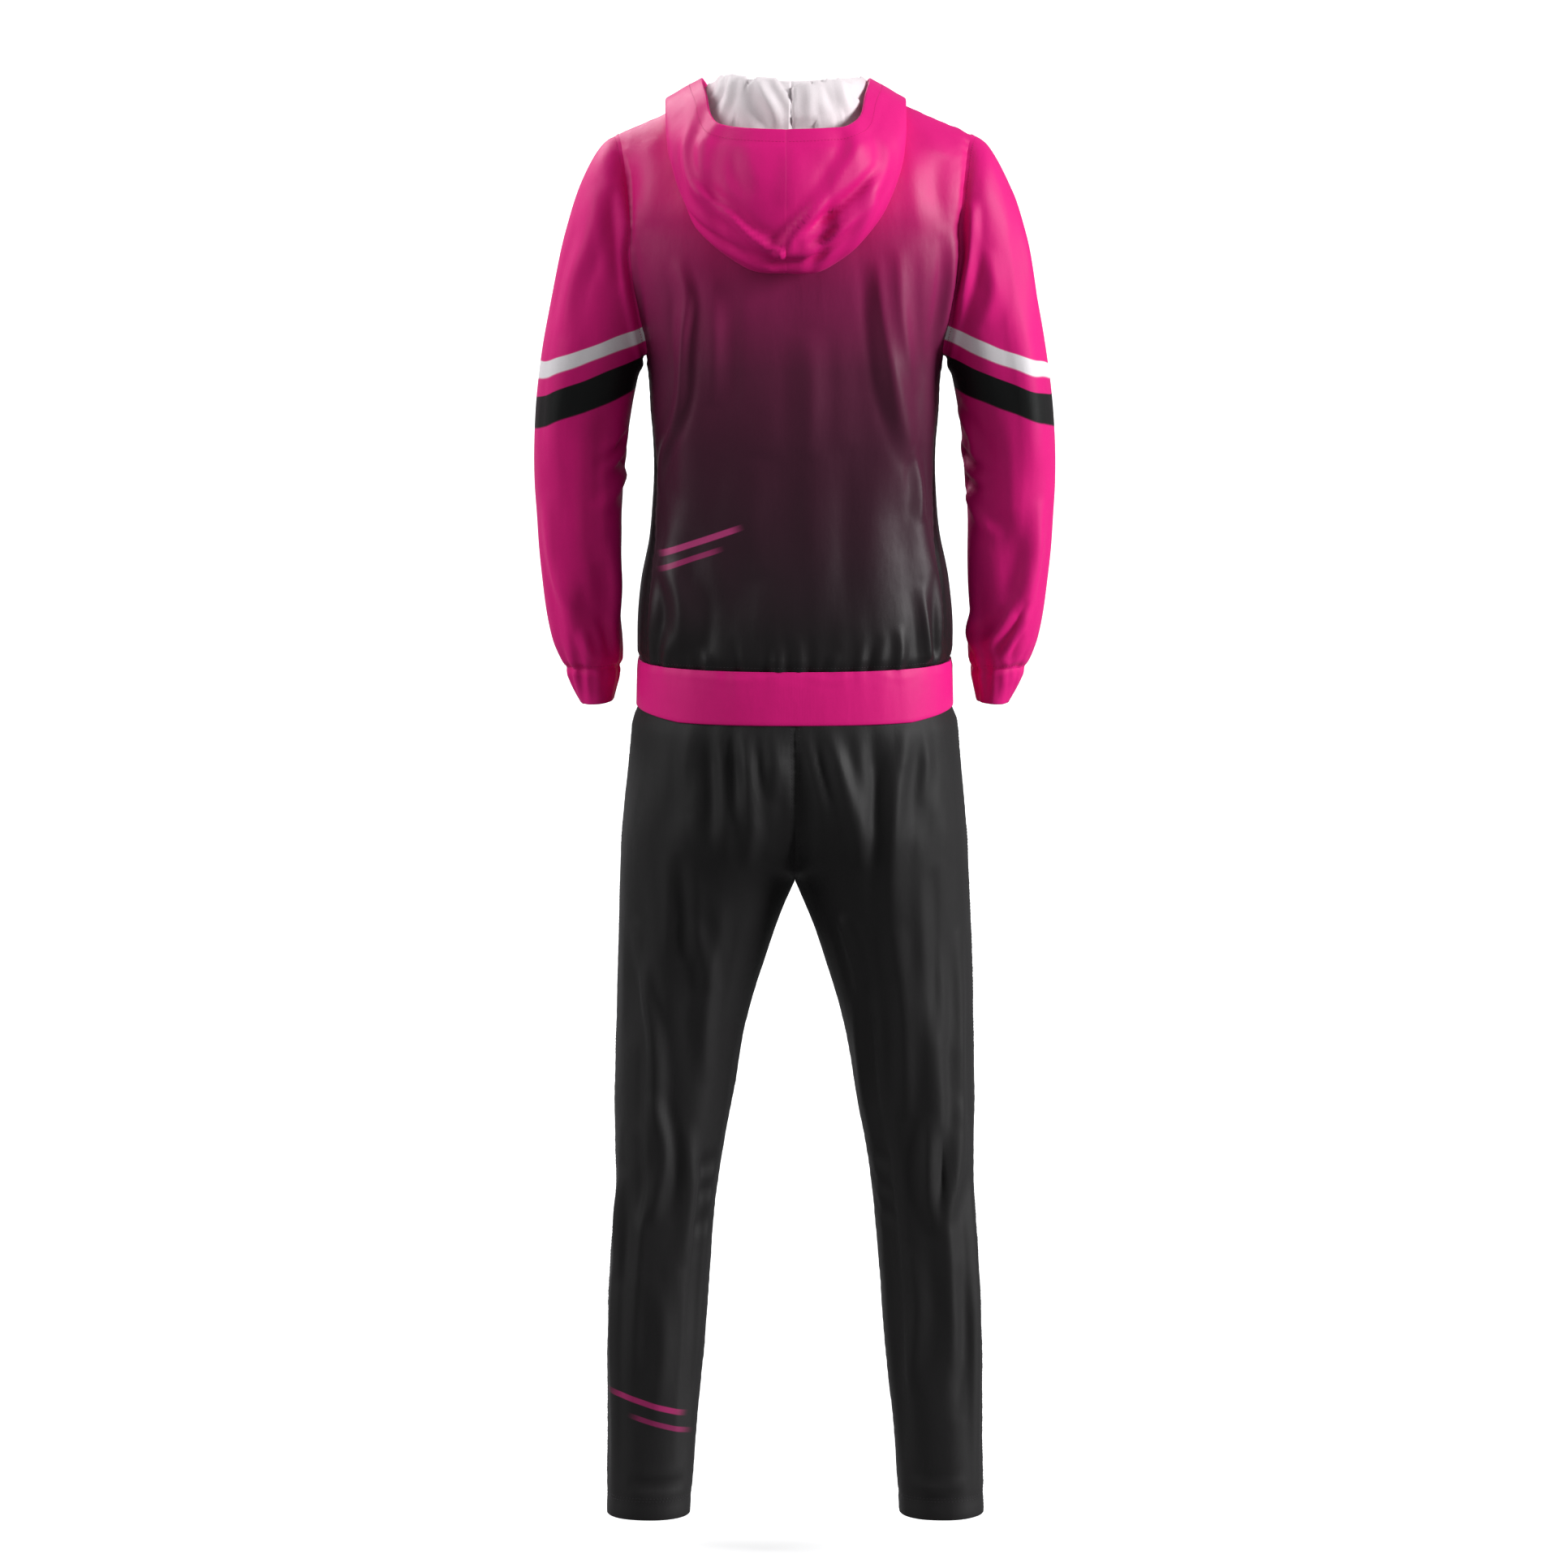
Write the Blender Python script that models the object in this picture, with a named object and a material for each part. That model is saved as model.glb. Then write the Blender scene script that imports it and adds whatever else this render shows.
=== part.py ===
import math

import bmesh
import bpy
import numpy as np

for leftover in list(bpy.data.objects):
    bpy.data.objects.remove(leftover, do_unlink=True)

# Metres. The wearer would face -Y. The origin lies between the shoulders at neck height.
body_cloth = 0.0015
sleeve_cloth = 0.0015
pants_cloth = 0.0016
band_cloth = 0.0022
hood_cloth = 0.0014
lining_cloth = 0.0012
seam_gap = 0.0003

# Jacket sizes
yoke_height = -0.120
underarm_height = -0.262
jacket_bottom = -0.596
section_fullness = 2.4
shoulder_fullness = 1.8
neck_half_width = 0.085
shoulder_half_width = 0.195
shoulder_peak = 0.062
shoulder_slope = 0.42
neck_back_height = 0.012
neck_front_height = -0.052
armhole_half_depth = 0.070
armhole_middle = -0.145
gore_top_half = 0.012

# Pants sizes
waist_top = -0.548
waist_seam = -0.588
crotch_height = -0.844
leg_bottom = -1.556
leg_fullness = 2.3

# Grid counts
neck_columns = 6
yoke_columns = 4
roll_rows = 5
yoke_rows = 4
body_rows = 9
gore_columns = 2
pants_columns = 9


def table(columns, *rows):
    names = columns.split()
    return {name: [row[place] for row in rows] for place, name in enumerate(names)}


def read(source, column, where, key="height"):
    # Value of a column at a place along the key column, on a smooth curve through the rows
    keys = source[key]
    values = source[column]
    if keys[0] > keys[-1]:
        keys = keys[::-1]
        values = values[::-1]
    where = min(max(where, keys[0]), keys[-1])
    last = len(keys) - 2
    place = min(max(int(np.searchsorted(keys, where, side="right")) - 1, 0), last)
    span = keys[place + 1] - keys[place]
    part = (where - keys[place]) / span

    def slope(index):
        low = max(index - 1, 0)
        high = min(index + 1, len(keys) - 1)
        return (values[high] - values[low]) / (keys[high] - keys[low])

    start = values[place]
    end = values[place + 1]
    rise = part * part * (3 - 2 * part)
    curve = part * (1 - part) ** 2 * slope(place) - part * part * (1 - part) * slope(place + 1)
    return start + (end - start) * rise + span * curve


body_table = table(
    "height half_width back front gore_half",
    (-0.120, 0.207, 0.116, 0.100, 0.012),
    (-0.160, 0.204, 0.119, 0.103, 0.012),
    (-0.210, 0.186, 0.119, 0.105, 0.012),
    (-0.262, 0.1630, 0.117, 0.106, 0.012),
    (-0.324, 0.1575, 0.112, 0.104, 0.016),
    (-0.369, 0.1540, 0.108, 0.103, 0.020),
    (-0.414, 0.1550, 0.107, 0.104, 0.026),
    (-0.459, 0.1590, 0.110, 0.107, 0.036),
    (-0.504, 0.1680, 0.116, 0.112, 0.048),
    (-0.549, 0.1730, 0.123, 0.117, 0.055),
    (-0.596, 0.1735, 0.127, 0.119, 0.057),
)

band_table = table(
    "height half_width back front",
    (-0.596, 0.1735, 0.127, 0.119),
    (-0.620, 0.1745, 0.129, 0.120),
    (-0.645, 0.1750, 0.130, 0.121),
)

pants_table = table(
    "height outer inner back front middle",
    (-0.548, 0.1580, -0.1580, 0.106, 0.102, 0.000),
    (-0.588, 0.1590, -0.1590, 0.112, 0.105, 0.000),
    (-0.600, 0.1655, -0.1655, 0.119, 0.111, 0.000),
    (-0.620, 0.1717, -0.1717, 0.1262, 0.1172, 0.000),
    (-0.645, 0.1722, -0.1722, 0.1272, 0.1182, 0.000),
    (-0.664, 0.1790, -0.1700, 0.131, 0.118, 0.000),
    (-0.700, 0.1825, -0.1450, 0.133, 0.115, 0.000),
    (-0.740, 0.1865, -0.1040, 0.132, 0.111, 0.000),
    (-0.774, 0.1895, -0.0700, 0.128, 0.107, 0.000),
    (-0.806, 0.1920, -0.0380, 0.121, 0.103, 0.000),
    (-0.830, 0.1932, -0.0130, 0.113, 0.099, 0.000),
    (-0.844, 0.1940, 0.0005, 0.108, 0.097, 0.000),
    (-0.864, 0.1950, 0.0100, 0.102, 0.094, 0.000),
    (-0.909, 0.1960, 0.0265, 0.094, 0.089, 0.000),
    (-0.999, 0.1980, 0.0535, 0.083, 0.080, 0.002),
    (-1.089, 0.2000, 0.0690, 0.072, 0.070, 0.004),
    (-1.179, 0.2000, 0.0846, 0.065, 0.063, 0.006),
    (-1.269, 0.2057, 0.0936, 0.060, 0.057, 0.008),
    (-1.359, 0.2090, 0.1000, 0.056, 0.052, 0.009),
    (-1.449, 0.2090, 0.1090, 0.052, 0.048, 0.010),
    (-1.556, 0.2106, 0.1165, 0.050, 0.046, 0.010),
)

# Each ring crosses the sleeve from its outer edge to its inner edge, and tips level on the way down.
sleeve_table = table(
    "ring outer outer_height inner inner_height depth middle",
    (1, 0.2130, -0.0370, 0.1668, -0.2655, 0.0725, 0.000),
    (2, 0.2350, -0.0765, 0.1686, -0.2700, 0.0735, 0.000),
    (3, 0.2490, -0.1200, 0.1703, -0.2765, 0.0725, 0.000),
    (4, 0.2600, -0.1670, 0.1722, -0.2850, 0.0700, 0.000),
    (5, 0.2690, -0.2150, 0.1745, -0.2965, 0.0670, 0.000),
    (6, 0.2770, -0.2620, 0.1775, -0.3120, 0.0640, -0.001),
    (7, 0.2830, -0.3100, 0.1815, -0.3360, 0.0610, -0.002),
    (8, 0.2862, -0.3560, 0.1855, -0.3660, 0.0585, -0.003),
    (9, 0.2866, -0.3980, 0.1880, -0.4020, 0.0565, -0.005),
    (10, 0.2845, -0.4380, 0.1905, -0.4380, 0.0545, -0.007),
    (11, 0.2825, -0.4740, 0.1915, -0.4740, 0.0530, -0.010),
    (12, 0.2790, -0.5100, 0.1922, -0.5100, 0.0510, -0.013),
    (13, 0.2745, -0.5450, 0.1928, -0.5450, 0.0490, -0.016),
    (14, 0.2680, -0.5750, 0.1910, -0.5750, 0.0465, -0.018),
    (15, 0.2600, -0.5950, 0.1915, -0.5950, 0.0430, -0.019),
    (16, 0.2530, -0.6080, 0.1940, -0.6080, 0.0385, -0.020),
)

cuff_table = table(
    "ring outer outer_height inner inner_height depth middle",
    (16, 0.2530, -0.6080, 0.1940, -0.6080, 0.0385, -0.020),
    (17, 0.2500, -0.6200, 0.1950, -0.6190, 0.0355, -0.020),
    (18, 0.2440, -0.6340, 0.1975, -0.6320, 0.0335, -0.021),
    (19, 0.2370, -0.6470, 0.2000, -0.6440, 0.0325, -0.021),
)

# Rings of the hood, from the neck seam over the stand and down the pouch to the free rim
hood_table = table(
    "ring half_width back front side_height back_height front_height",
    (1, 0.089, 0.086, 0.090, 0.0330, 0.0280, -0.0430),
    (2, 0.094, 0.091, 0.093, 0.0375, 0.0370, -0.0360),
    (3, 0.100, 0.100, 0.098, 0.0385, 0.0390, -0.0330),
    (4, 0.107, 0.112, 0.102, 0.0330, 0.0210, -0.0360),
    (5, 0.112, 0.124, 0.105, 0.0260, -0.0250, -0.0420),
    (6, 0.117, 0.131, 0.107, 0.0200, -0.0830, -0.0490),
    (7, 0.122, 0.138, 0.110, 0.0165, -0.1330, -0.0560),
    (8, 0.130, 0.154, 0.117, 0.0150, -0.1600, -0.0620),
    (9, 0.1390, 0.174, 0.125, 0.0155, -0.1500, -0.0620),
    (10, 0.1420, 0.186, 0.130, 0.0180, -0.1150, -0.0560),
    (11, 0.1410, 0.185, 0.131, 0.0220, -0.0720, -0.0490),
    (12, 0.1360, 0.173, 0.129, 0.0260, -0.0340, -0.0430),
    (13, 0.1290, 0.157, 0.126, 0.0290, -0.0070, -0.0370),
)
hood_front_turn = 15.0
hood_front_lean = 15.0
hood_taper_turn = 40.0
hood_front_size = 0.62
hood_back_drop = 5.0
hood_front_drop = 2.0
hood_plan_fullness = 2.5
hood_clearance = 0.050
least_yoke_depth = 0.020
fold_end_softness = 0.8

# Largest folds: turn in degrees from the centre back, ends, half width, depth and lean of each
body_folds = table(
    "turn top bottom half_turn depth lean",
    (40, -0.125, -0.46, 19, 0.008, 12),
    (-38, -0.125, -0.42, 18, 0.008, -10),
    (14, -0.36, -0.58, 17, -0.006, 16),
    (-58, -0.38, -0.59, 16, 0.006, -8),
    (54, -0.42, -0.59, 16, 0.007, 6),
    (140, -0.125, -0.48, 20, 0.007, -10),
    (-138, -0.125, -0.44, 20, 0.007, 12),
    (-168, -0.34, -0.58, 18, -0.006, 8),
)

leg_folds = table(
    "turn top bottom half_turn depth lean",
    (2, -0.66, -0.90, 16, 0.006, -6),
    (40, -0.68, -1.02, 16, -0.006, 10),
    (18, -0.92, -1.40, 18, 0.006, 10),
    (-44, -0.98, -1.50, 20, -0.006, -8),
    (58, -1.10, -1.54, 20, 0.005, -10),
    (176, -0.70, -1.10, 18, 0.006, 4),
    (140, -0.86, -1.36, 20, -0.006, -6),
    (206, -1.00, -1.50, 20, 0.006, 6),
)

sleeve_folds = table(
    "turn top bottom half_turn depth lean",
    (62, -0.20, -0.40, 30, 0.005, 10),
    (112, -0.30, -0.50, 26, -0.005, -14),
    (72, -0.46, -0.60, 28, 0.006, 18),
    (150, -0.42, -0.60, 30, 0.006, -10),
    (-66, -0.24, -0.46, 30, 0.005, 8),
    (-112, -0.40, -0.58, 28, -0.005, 10),
)

hood_folds = table(
    "turn top bottom half_turn depth lean",
    (140, 8, 14, 10, 0.006, 5),
    (-145, 8, 14, 9, 0.007, -8),
    (-165, 8, 12, 8, -0.005, 6),
)


def signed_power(value, power):
    return math.copysign(abs(value) ** power, value)


def shoulder_top(x):
    return shoulder_peak - shoulder_slope * abs(x)


def yoke_depth(x, side):
    # Depth of the jacket at the yoke line, side +1 at the back and -1 at the front
    column = "back" if side > 0 else "front"
    part = min(abs(x) / read(body_table, "half_width", yoke_height), 1.0)
    return read(body_table, column, yoke_height) * (1 - part**section_fullness) ** (1 / section_fullness)


def fold_height(folds, turn, place):
    # How far the cloth stands out of its plain section at a turn and a height, or a ring on the hood
    total = 0.0
    for row in range(len(folds["turn"])):
        top = folds["top"][row]
        bottom = folds["bottom"][row]
        along = (place - top) / (bottom - top)
        if not 0 < along < 1:
            continue
        middle = folds["turn"][row] + folds["lean"][row] * (along - 0.5)
        away = (turn - middle + 180) % 360 - 180
        across = abs(away) / folds["half_turn"][row]
        if across >= 1:
            continue
        ends = math.sin(math.pi * along) ** fold_end_softness
        total += folds["depth"][row] * ends * (1 + math.cos(math.pi * across)) / 2
    return total


def swell(point, middle, amount):
    # Moves a point out of its section, level with its height
    away = np.array([point[0] - middle[0], point[1] - middle[1], 0.0])
    length = np.linalg.norm(away)
    return point + away / length * amount if length > 1e-9 else point


def body_point(height, turn, source=body_table, folds=body_folds):
    # A point of the closed jacket section, turn in degrees from the centre back
    sine = math.sin(math.radians(turn))
    cosine = math.cos(math.radians(turn))
    depth = read(source, "back" if cosine > 0 else "front", height)
    power = 2 / section_fullness
    x = read(source, "half_width", height) * signed_power(sine, power)
    y = depth * signed_power(cosine, power)
    point = np.array([x, y, height])
    if folds is None:
        return point
    return swell(point, (0.0, 0.0), fold_height(folds, turn, height))


def edge_turn(height, side):
    # Where a body panel ends: at the side gore, and above it at the armhole's oval
    column = "back" if side > 0 else "front"
    half = read(body_table, "gore_half", height)
    if height > underarm_height:
        drop = max(armhole_middle - height, 0.0) / (armhole_middle - underarm_height)
        half = gore_top_half + (armhole_half_depth - gore_top_half) * math.sqrt(max(1 - drop * drop, 0.0))
    share = half / read(body_table, column, height)
    return math.degrees(math.acos(share ** (section_fullness / 2)))


def neck_edge(share, side):
    # x and height of the neck edge, share 0 at the centre and 1 at the shoulder seam
    middle = neck_back_height if side > 0 else neck_front_height
    x = neck_half_width * math.sin(share * math.pi / 2)
    rise = math.sin(share * math.pi / 2) ** 2
    return x, middle + (shoulder_top(neck_half_width) - middle) * rise


def top_edge(column, side):
    # x and rise of a body panel's top edge, along the neck and then the shoulder seam
    place = abs(column)
    if place <= neck_columns:
        x, height = neck_edge(place / neck_columns, side)
        share = (height - yoke_height) / (shoulder_top(x) - yoke_height)
    else:
        x = neck_half_width + (shoulder_half_width - neck_half_width) * (place - neck_columns) / yoke_columns
        share = 1.0
    return math.copysign(x, column), min(share, 1.0)


def yoke_point(column, rise, side):
    # A point between the yoke line and the shoulder seam, where the body rolls over the shoulder
    count = neck_columns + yoke_columns
    turn = edge_turn(yoke_height, side) * column / count
    start = body_point(yoke_height, turn if side > 0 else 180 - turn, folds=None)
    end_x, end_share = top_edge(column, side)
    share = math.sin(rise * math.asin(end_share))
    x = start[0] + (end_x - start[0]) * rise
    height = yoke_height + (shoulder_top(x) - yoke_height) * share
    depth = yoke_depth(x, side) * (1 - share**shoulder_fullness) ** (1 / shoulder_fullness)
    return np.array([x, side * depth, height])


def steps(start, end, count):
    return [start + (end - start) * index / count for index in range(count + 1)]


body_heights = steps(jacket_bottom, underarm_height, body_rows)
yoke_heights = [yoke_height + (underarm_height - yoke_height) * math.sin(part * math.pi / 2)
                for part in steps(1.0, 0.0, yoke_rows)]


def body_panel(side):
    # Grid of the jacket's back or front, from its bottom edge up to the neck and shoulder seams
    count = neck_columns + yoke_columns
    columns = range(-count, count + 1)
    grid = []
    for height in body_heights + yoke_heights[1:]:
        limit = edge_turn(height, side)
        turns = [limit * column / count for column in columns]
        grid.append([body_point(height, turn if side > 0 else 180 - turn) for turn in turns])
    for rise in steps(0.0, 1.0, roll_rows)[1:]:
        grid.append([yoke_point(column, rise, side) for column in columns])
    return np.array(grid)


def gore_panel(side):
    # Grid of a side gore, from the jacket's bottom edge to the armhole
    grid = []
    for height in body_heights:
        start = edge_turn(height, 1)
        end = 180 - edge_turn(height, -1)
        grid.append([body_point(height, side * turn) for turn in steps(start, end, gore_columns)])
    return np.array(grid)


def armhole(side, back, front, gore):
    # The sewn ring round one armhole: down the back edge, under the arm and up the front edge
    edge = -1 if side > 0 else 0
    opening = -1 - roll_rows - yoke_rows
    down = back[opening:, edge][::-1]
    up = front[opening:, edge]
    under = gore[-1][1:-1]
    return np.concatenate([down, under, up[:-1]])


def tube_ring(source, ring, angles, side):
    # One ring of a sleeve or cuff
    outer = np.array([read(source, "outer", ring, "ring"), 0, read(source, "outer_height", ring, "ring")])
    inner = np.array([read(source, "inner", ring, "ring"), 0, read(source, "inner_height", ring, "ring")])
    middle = (outer + inner) / 2
    middle[1] = read(source, "middle", ring, "ring")
    half = (outer - inner) / 2
    depth = read(source, "depth", ring, "ring")
    power = 2 / leg_fullness
    points = []
    for angle in angles:
        across = signed_power(math.cos(angle), power)
        back = signed_power(math.sin(angle), power)
        point = middle + half * across + np.array([0, depth * back, 0])
        if ring < sleeve_table["ring"][-1]:
            point = swell(point, middle, fold_height(sleeve_folds, math.degrees(angle), point[2]))
        points.append(point * np.array([side, 1, 1]))
    return points


def sleeve_angles(ring_points):
    # Angle of each armhole point about the middle of the armhole, 0 at the shoulder tip
    points = np.abs(ring_points[:, 0])[:, None] * [1, 0, 0] + ring_points * [0, 1, 1]
    top = points[0]
    bottom = points[len(points) // 2]
    middle = (top + bottom) / 2
    axis = (top - bottom) / 2
    half = np.linalg.norm(axis)
    across = (points - middle) @ (axis / half) / half
    back = (points[:, 1] - middle[1]) / armhole_half_depth
    power = leg_fullness / 2
    return [math.atan2(signed_power(b, power), signed_power(a, power)) for a, b in zip(across, back)]


def leg_turn(height):
    # How far the inner edge of a pants panel lies past the leg's centre line
    outer = read(pants_table, "outer", height)
    inner = read(pants_table, "inner", height)
    share = min(max((outer + inner) / (outer - inner), 0.0), 1.0)
    return math.degrees(math.asin(share ** (leg_fullness / 2)))


def leg_point(height, turn, side, folds=leg_folds):
    outer = read(pants_table, "outer", height)
    inner = read(pants_table, "inner", height)
    centre = (outer + inner) / 2
    middle = read(pants_table, "middle", height)
    sine = math.sin(math.radians(turn))
    cosine = math.cos(math.radians(turn))
    depth = read(pants_table, "back" if cosine > 0 else "front", height)
    power = 2 / leg_fullness
    x = centre + (outer - inner) / 2 * signed_power(sine, power)
    point = np.array([x, middle + depth * signed_power(cosine, power), height])
    if folds is not None:
        point = swell(point, (centre, middle), fold_height(folds, turn, height))
    return point * np.array([side, 1, 1])


def pants_heights():
    upper = [-0.588, -0.600, -0.620, -0.645, -0.664]
    seat = steps(-0.690, crotch_height, 6)
    legs = steps(crotch_height, leg_bottom, 15)[1:]
    return upper + seat + legs


def pants_panel(side, face):
    # Grid of one pants panel, from the waist seam to the hem. Its last column is the side seam.
    grid = []
    for height in pants_heights():
        inner = leg_turn(height)
        if face > 0:
            turns = steps(-inner, 90, pants_columns)
        else:
            turns = steps(180 + inner, 90, pants_columns)
        row = np.array([leg_point(height, turn, side) for turn in turns])
        if height >= crotch_height:
            row[:, 0] = side * np.maximum(side * row[:, 0], 0.0)
            row[0, 0] = 0.0
        grid.append(row)
    return np.array(grid)


def section_ring(height, source):
    # A closed level ring whose columns line up with those of the pants
    quarter = steps(0, 90, pants_columns)
    turns = quarter[:-1] + [180 - turn for turn in quarter[::-1]]
    turns = turns[:-1] + [180 + turn for turn in quarter[:-1]] + [360 - turn for turn in quarter[::-1]][:-1]
    if source is band_table:
        return [body_point(height, turn, source, None) for turn in turns]
    return [leg_point(height, turn, 1, None) for turn in turns]


def hood_turns(side):
    # Turns of the hood's columns, matched to the neck edge of the front and back
    front = steps(hood_front_turn, 90, neck_columns)
    back = steps(90, 180, neck_columns)[1:]
    return [side * turn for turn in front + back]


def lift_over_jacket(point):
    # Moves a point of the hood out until it clears the jacket below it
    side = 1 if point[1] > 0 else -1
    depth = yoke_depth(point[0], side)
    top = shoulder_top(point[0])
    across = abs(point[1]) / max(depth, least_yoke_depth)
    rise = max(point[2] - yoke_height, 0.0) / (top - yoke_height)
    reach = (across**shoulder_fullness + rise**shoulder_fullness) ** (1 / shoulder_fullness)
    least = 1 + hood_clearance
    if reach >= least:
        return point
    scale = least / reach
    height = point[2] if point[2] < yoke_height else yoke_height + (point[2] - yoke_height) * scale
    return np.array([point[0], point[1] * scale, height])


def neck_point(turn):
    side = 1 if abs(turn) > 90 else -1
    share = abs(turn) / 90 if side < 0 else (180 - abs(turn)) / 90
    x, height = neck_edge(share, side)
    top = shoulder_top(x)
    rise = min((height - yoke_height) / (top - yoke_height), 1.0)
    depth = yoke_depth(x, side) * (1 - rise**shoulder_fullness) ** (1 / shoulder_fullness)
    return np.array([math.copysign(x, turn), side * depth, height])


def hood_point(ring, turn):
    # A point of the hood shell. Ring 0 is the neck seam and the last ring the free rim.
    if ring == 0:
        return neck_point(turn)
    open_share = min((abs(turn) - hood_front_turn) / hood_taper_turn, 1.0)
    lean = hood_front_lean * (1 - open_share) * ring / hood_table["ring"][-1]
    sine = math.sin(math.radians(turn - math.copysign(lean, turn)))
    cosine = -math.cos(math.radians(turn))
    half_width = read(hood_table, "half_width", ring, "ring")
    depth = read(hood_table, "back" if cosine > 0 else "front", ring, "ring")
    middle = read(hood_table, "back_height" if cosine > 0 else "front_height", ring, "ring")
    drop = hood_back_drop if cosine > 0 else hood_front_drop
    side_height = read(hood_table, "side_height", ring, "ring")
    power = 2 / hood_plan_fullness
    x = half_width * signed_power(sine, power)
    y = depth * signed_power(cosine, power)
    height = middle + (side_height - middle) * abs(sine) ** drop
    point = np.array([x, y, height])
    point = swell(point, (0.0, 0.0), fold_height(hood_folds, turn, ring))
    neck = neck_point(turn)
    size = hood_front_size + (1 - hood_front_size) * math.sin(open_share * math.pi / 2)
    return lift_over_jacket(neck + (point - neck) * size)


def hood_panel(side):
    rings = [0] + hood_table["ring"]
    turns = hood_turns(side)
    grid = np.array([[hood_point(ring, turn) for turn in turns] for ring in rings])
    grid[:, -1, 0] = 0.0
    return grid


def grid_normals(grid, wrap, flip):
    # Normals from the differences between neighbouring points
    if wrap:
        across = (np.roll(grid, -1, axis=1) - np.roll(grid, 1, axis=1)) / 2
    else:
        across = np.gradient(grid, axis=1)
    along = np.gradient(grid, axis=0)
    normal = np.cross(across, along) * (-1 if flip else 1)
    return normal / np.maximum(np.linalg.norm(normal, axis=2, keepdims=True), 1e-12)


def share_normals(pieces):
    # Pieces that are sewn at the same points lean their walls the same way there
    sums = {}
    for piece in pieces:
        for point, normal in zip(piece["grid"].reshape(-1, 3), piece["normal"].reshape(-1, 3)):
            key = tuple(np.round(point, 5) + 0.0)
            sums[key] = sums.get(key, 0) + normal
    for piece in pieces:
        flat = piece["normal"].reshape(-1, 3)
        for index, point in enumerate(piece["grid"].reshape(-1, 3)):
            total = sums[tuple(np.round(point, 5) + 0.0)]
            flat[index] = total / np.linalg.norm(total)


def trim(sheet, edges):
    # Draws sewn edges back by half the seam gap
    views = {
        "first_row": (0, 1, 0),
        "last_row": (-1, -2, 0),
        "first_column": (0, 1, 1),
        "last_column": (-1, -2, 1),
    }
    for edge in edges:
        end, inner, axis = views[edge]
        rows = sheet if axis == 0 else sheet.transpose(1, 0, 2)
        move = rows[inner] - rows[end]
        length = np.maximum(np.linalg.norm(move, axis=1, keepdims=True), 1e-12)
        rows[end] += move / length * seam_gap / 2


def material(name, colour, roughness):
    made = bpy.data.materials.get(name)
    if made is None:
        made = bpy.data.materials.new(name)
        made.use_nodes = True
        shader = made.node_tree.nodes["Principled BSDF"]
        shader.inputs["Base Color"].default_value = (*colour, 1.0)
        shader.inputs["Roughness"].default_value = roughness
        shader.inputs["Metallic"].default_value = 0.0
        shader.inputs["Sheen Weight"].default_value = 0.3
    return made


slots = {
    "pink_knit": ((0.80, 0.016, 0.25), 0.50),
    "jacket_knit": ((0.42, 0.012, 0.13), 0.48),
    "black_knit": ((0.008, 0.008, 0.010), 0.55),
    "white_lining": ((0.80, 0.79, 0.77), 0.70),
    "charcoal_knit": ((0.022, 0.020, 0.023), 0.52),
}


def sewn_piece(name, grid, wall, slot, edges, wrap=False, flip=False):
    return {
        "name": name,
        "grid": grid,
        "normal": grid_normals(grid, wrap, flip),
        "wall": wall,
        "slot": slot,
        "edges": edges,
        "wrap": wrap,
        "flip": flip,
    }


def build_cloth(piece):
    # Closes a grid of points into a wall of cloth, its inside face along the shared normals
    outer = piece["grid"].copy()
    inner = piece["grid"] - piece["normal"] * piece["wall"]
    trim(outer, piece["edges"])
    trim(inner, piece["edges"])
    rows, columns = outer.shape[:2]
    mesh = bmesh.new()
    skins = []
    for sheet in (outer, inner):
        skins.append([[mesh.verts.new(point) for point in row] for row in sheet])
    last = columns if piece["wrap"] else columns - 1
    for skin in skins:
        for row in range(rows - 1):
            for column in range(last):
                after = (column + 1) % columns
                low = (skin[row][column], skin[row][after], skin[row + 1][after])
                high = (skin[row][column], skin[row + 1][after], skin[row + 1][column])
                mesh.faces.new(low)
                mesh.faces.new(high)
    if piece["wrap"]:
        bridge_tube(mesh, skins)
    else:
        bmesh.ops.bridge_loops(mesh, edges=[edge for edge in mesh.edges if edge.is_boundary])
    bmesh.ops.triangulate(mesh, faces=[face for face in mesh.faces if len(face.verts) > 3])
    bmesh.ops.recalc_face_normals(mesh, faces=mesh.faces)
    data = bpy.data.meshes.new(piece["name"])
    mesh.to_mesh(data)
    mesh.free()
    data.shade_smooth()
    data.set_sharp_from_angle(angle=math.radians(50))
    colour, roughness = slots[piece["slot"]]
    data.materials.append(material(piece["slot"], colour, roughness))
    made = bpy.data.objects.new(piece["name"], data)
    bpy.context.scene.collection.objects.link(made)
    return made


def bridge_tube(mesh, skins):
    # Closes both ends of a tube between its outer and inner skin
    outer, inner = skins
    for row in (0, -1):
        ring = list(zip(outer[row], inner[row]))
        for (a, b), (c, d) in zip(ring, ring[1:] + ring[:1]):
            mesh.faces.new((a, b, d, c))


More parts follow.
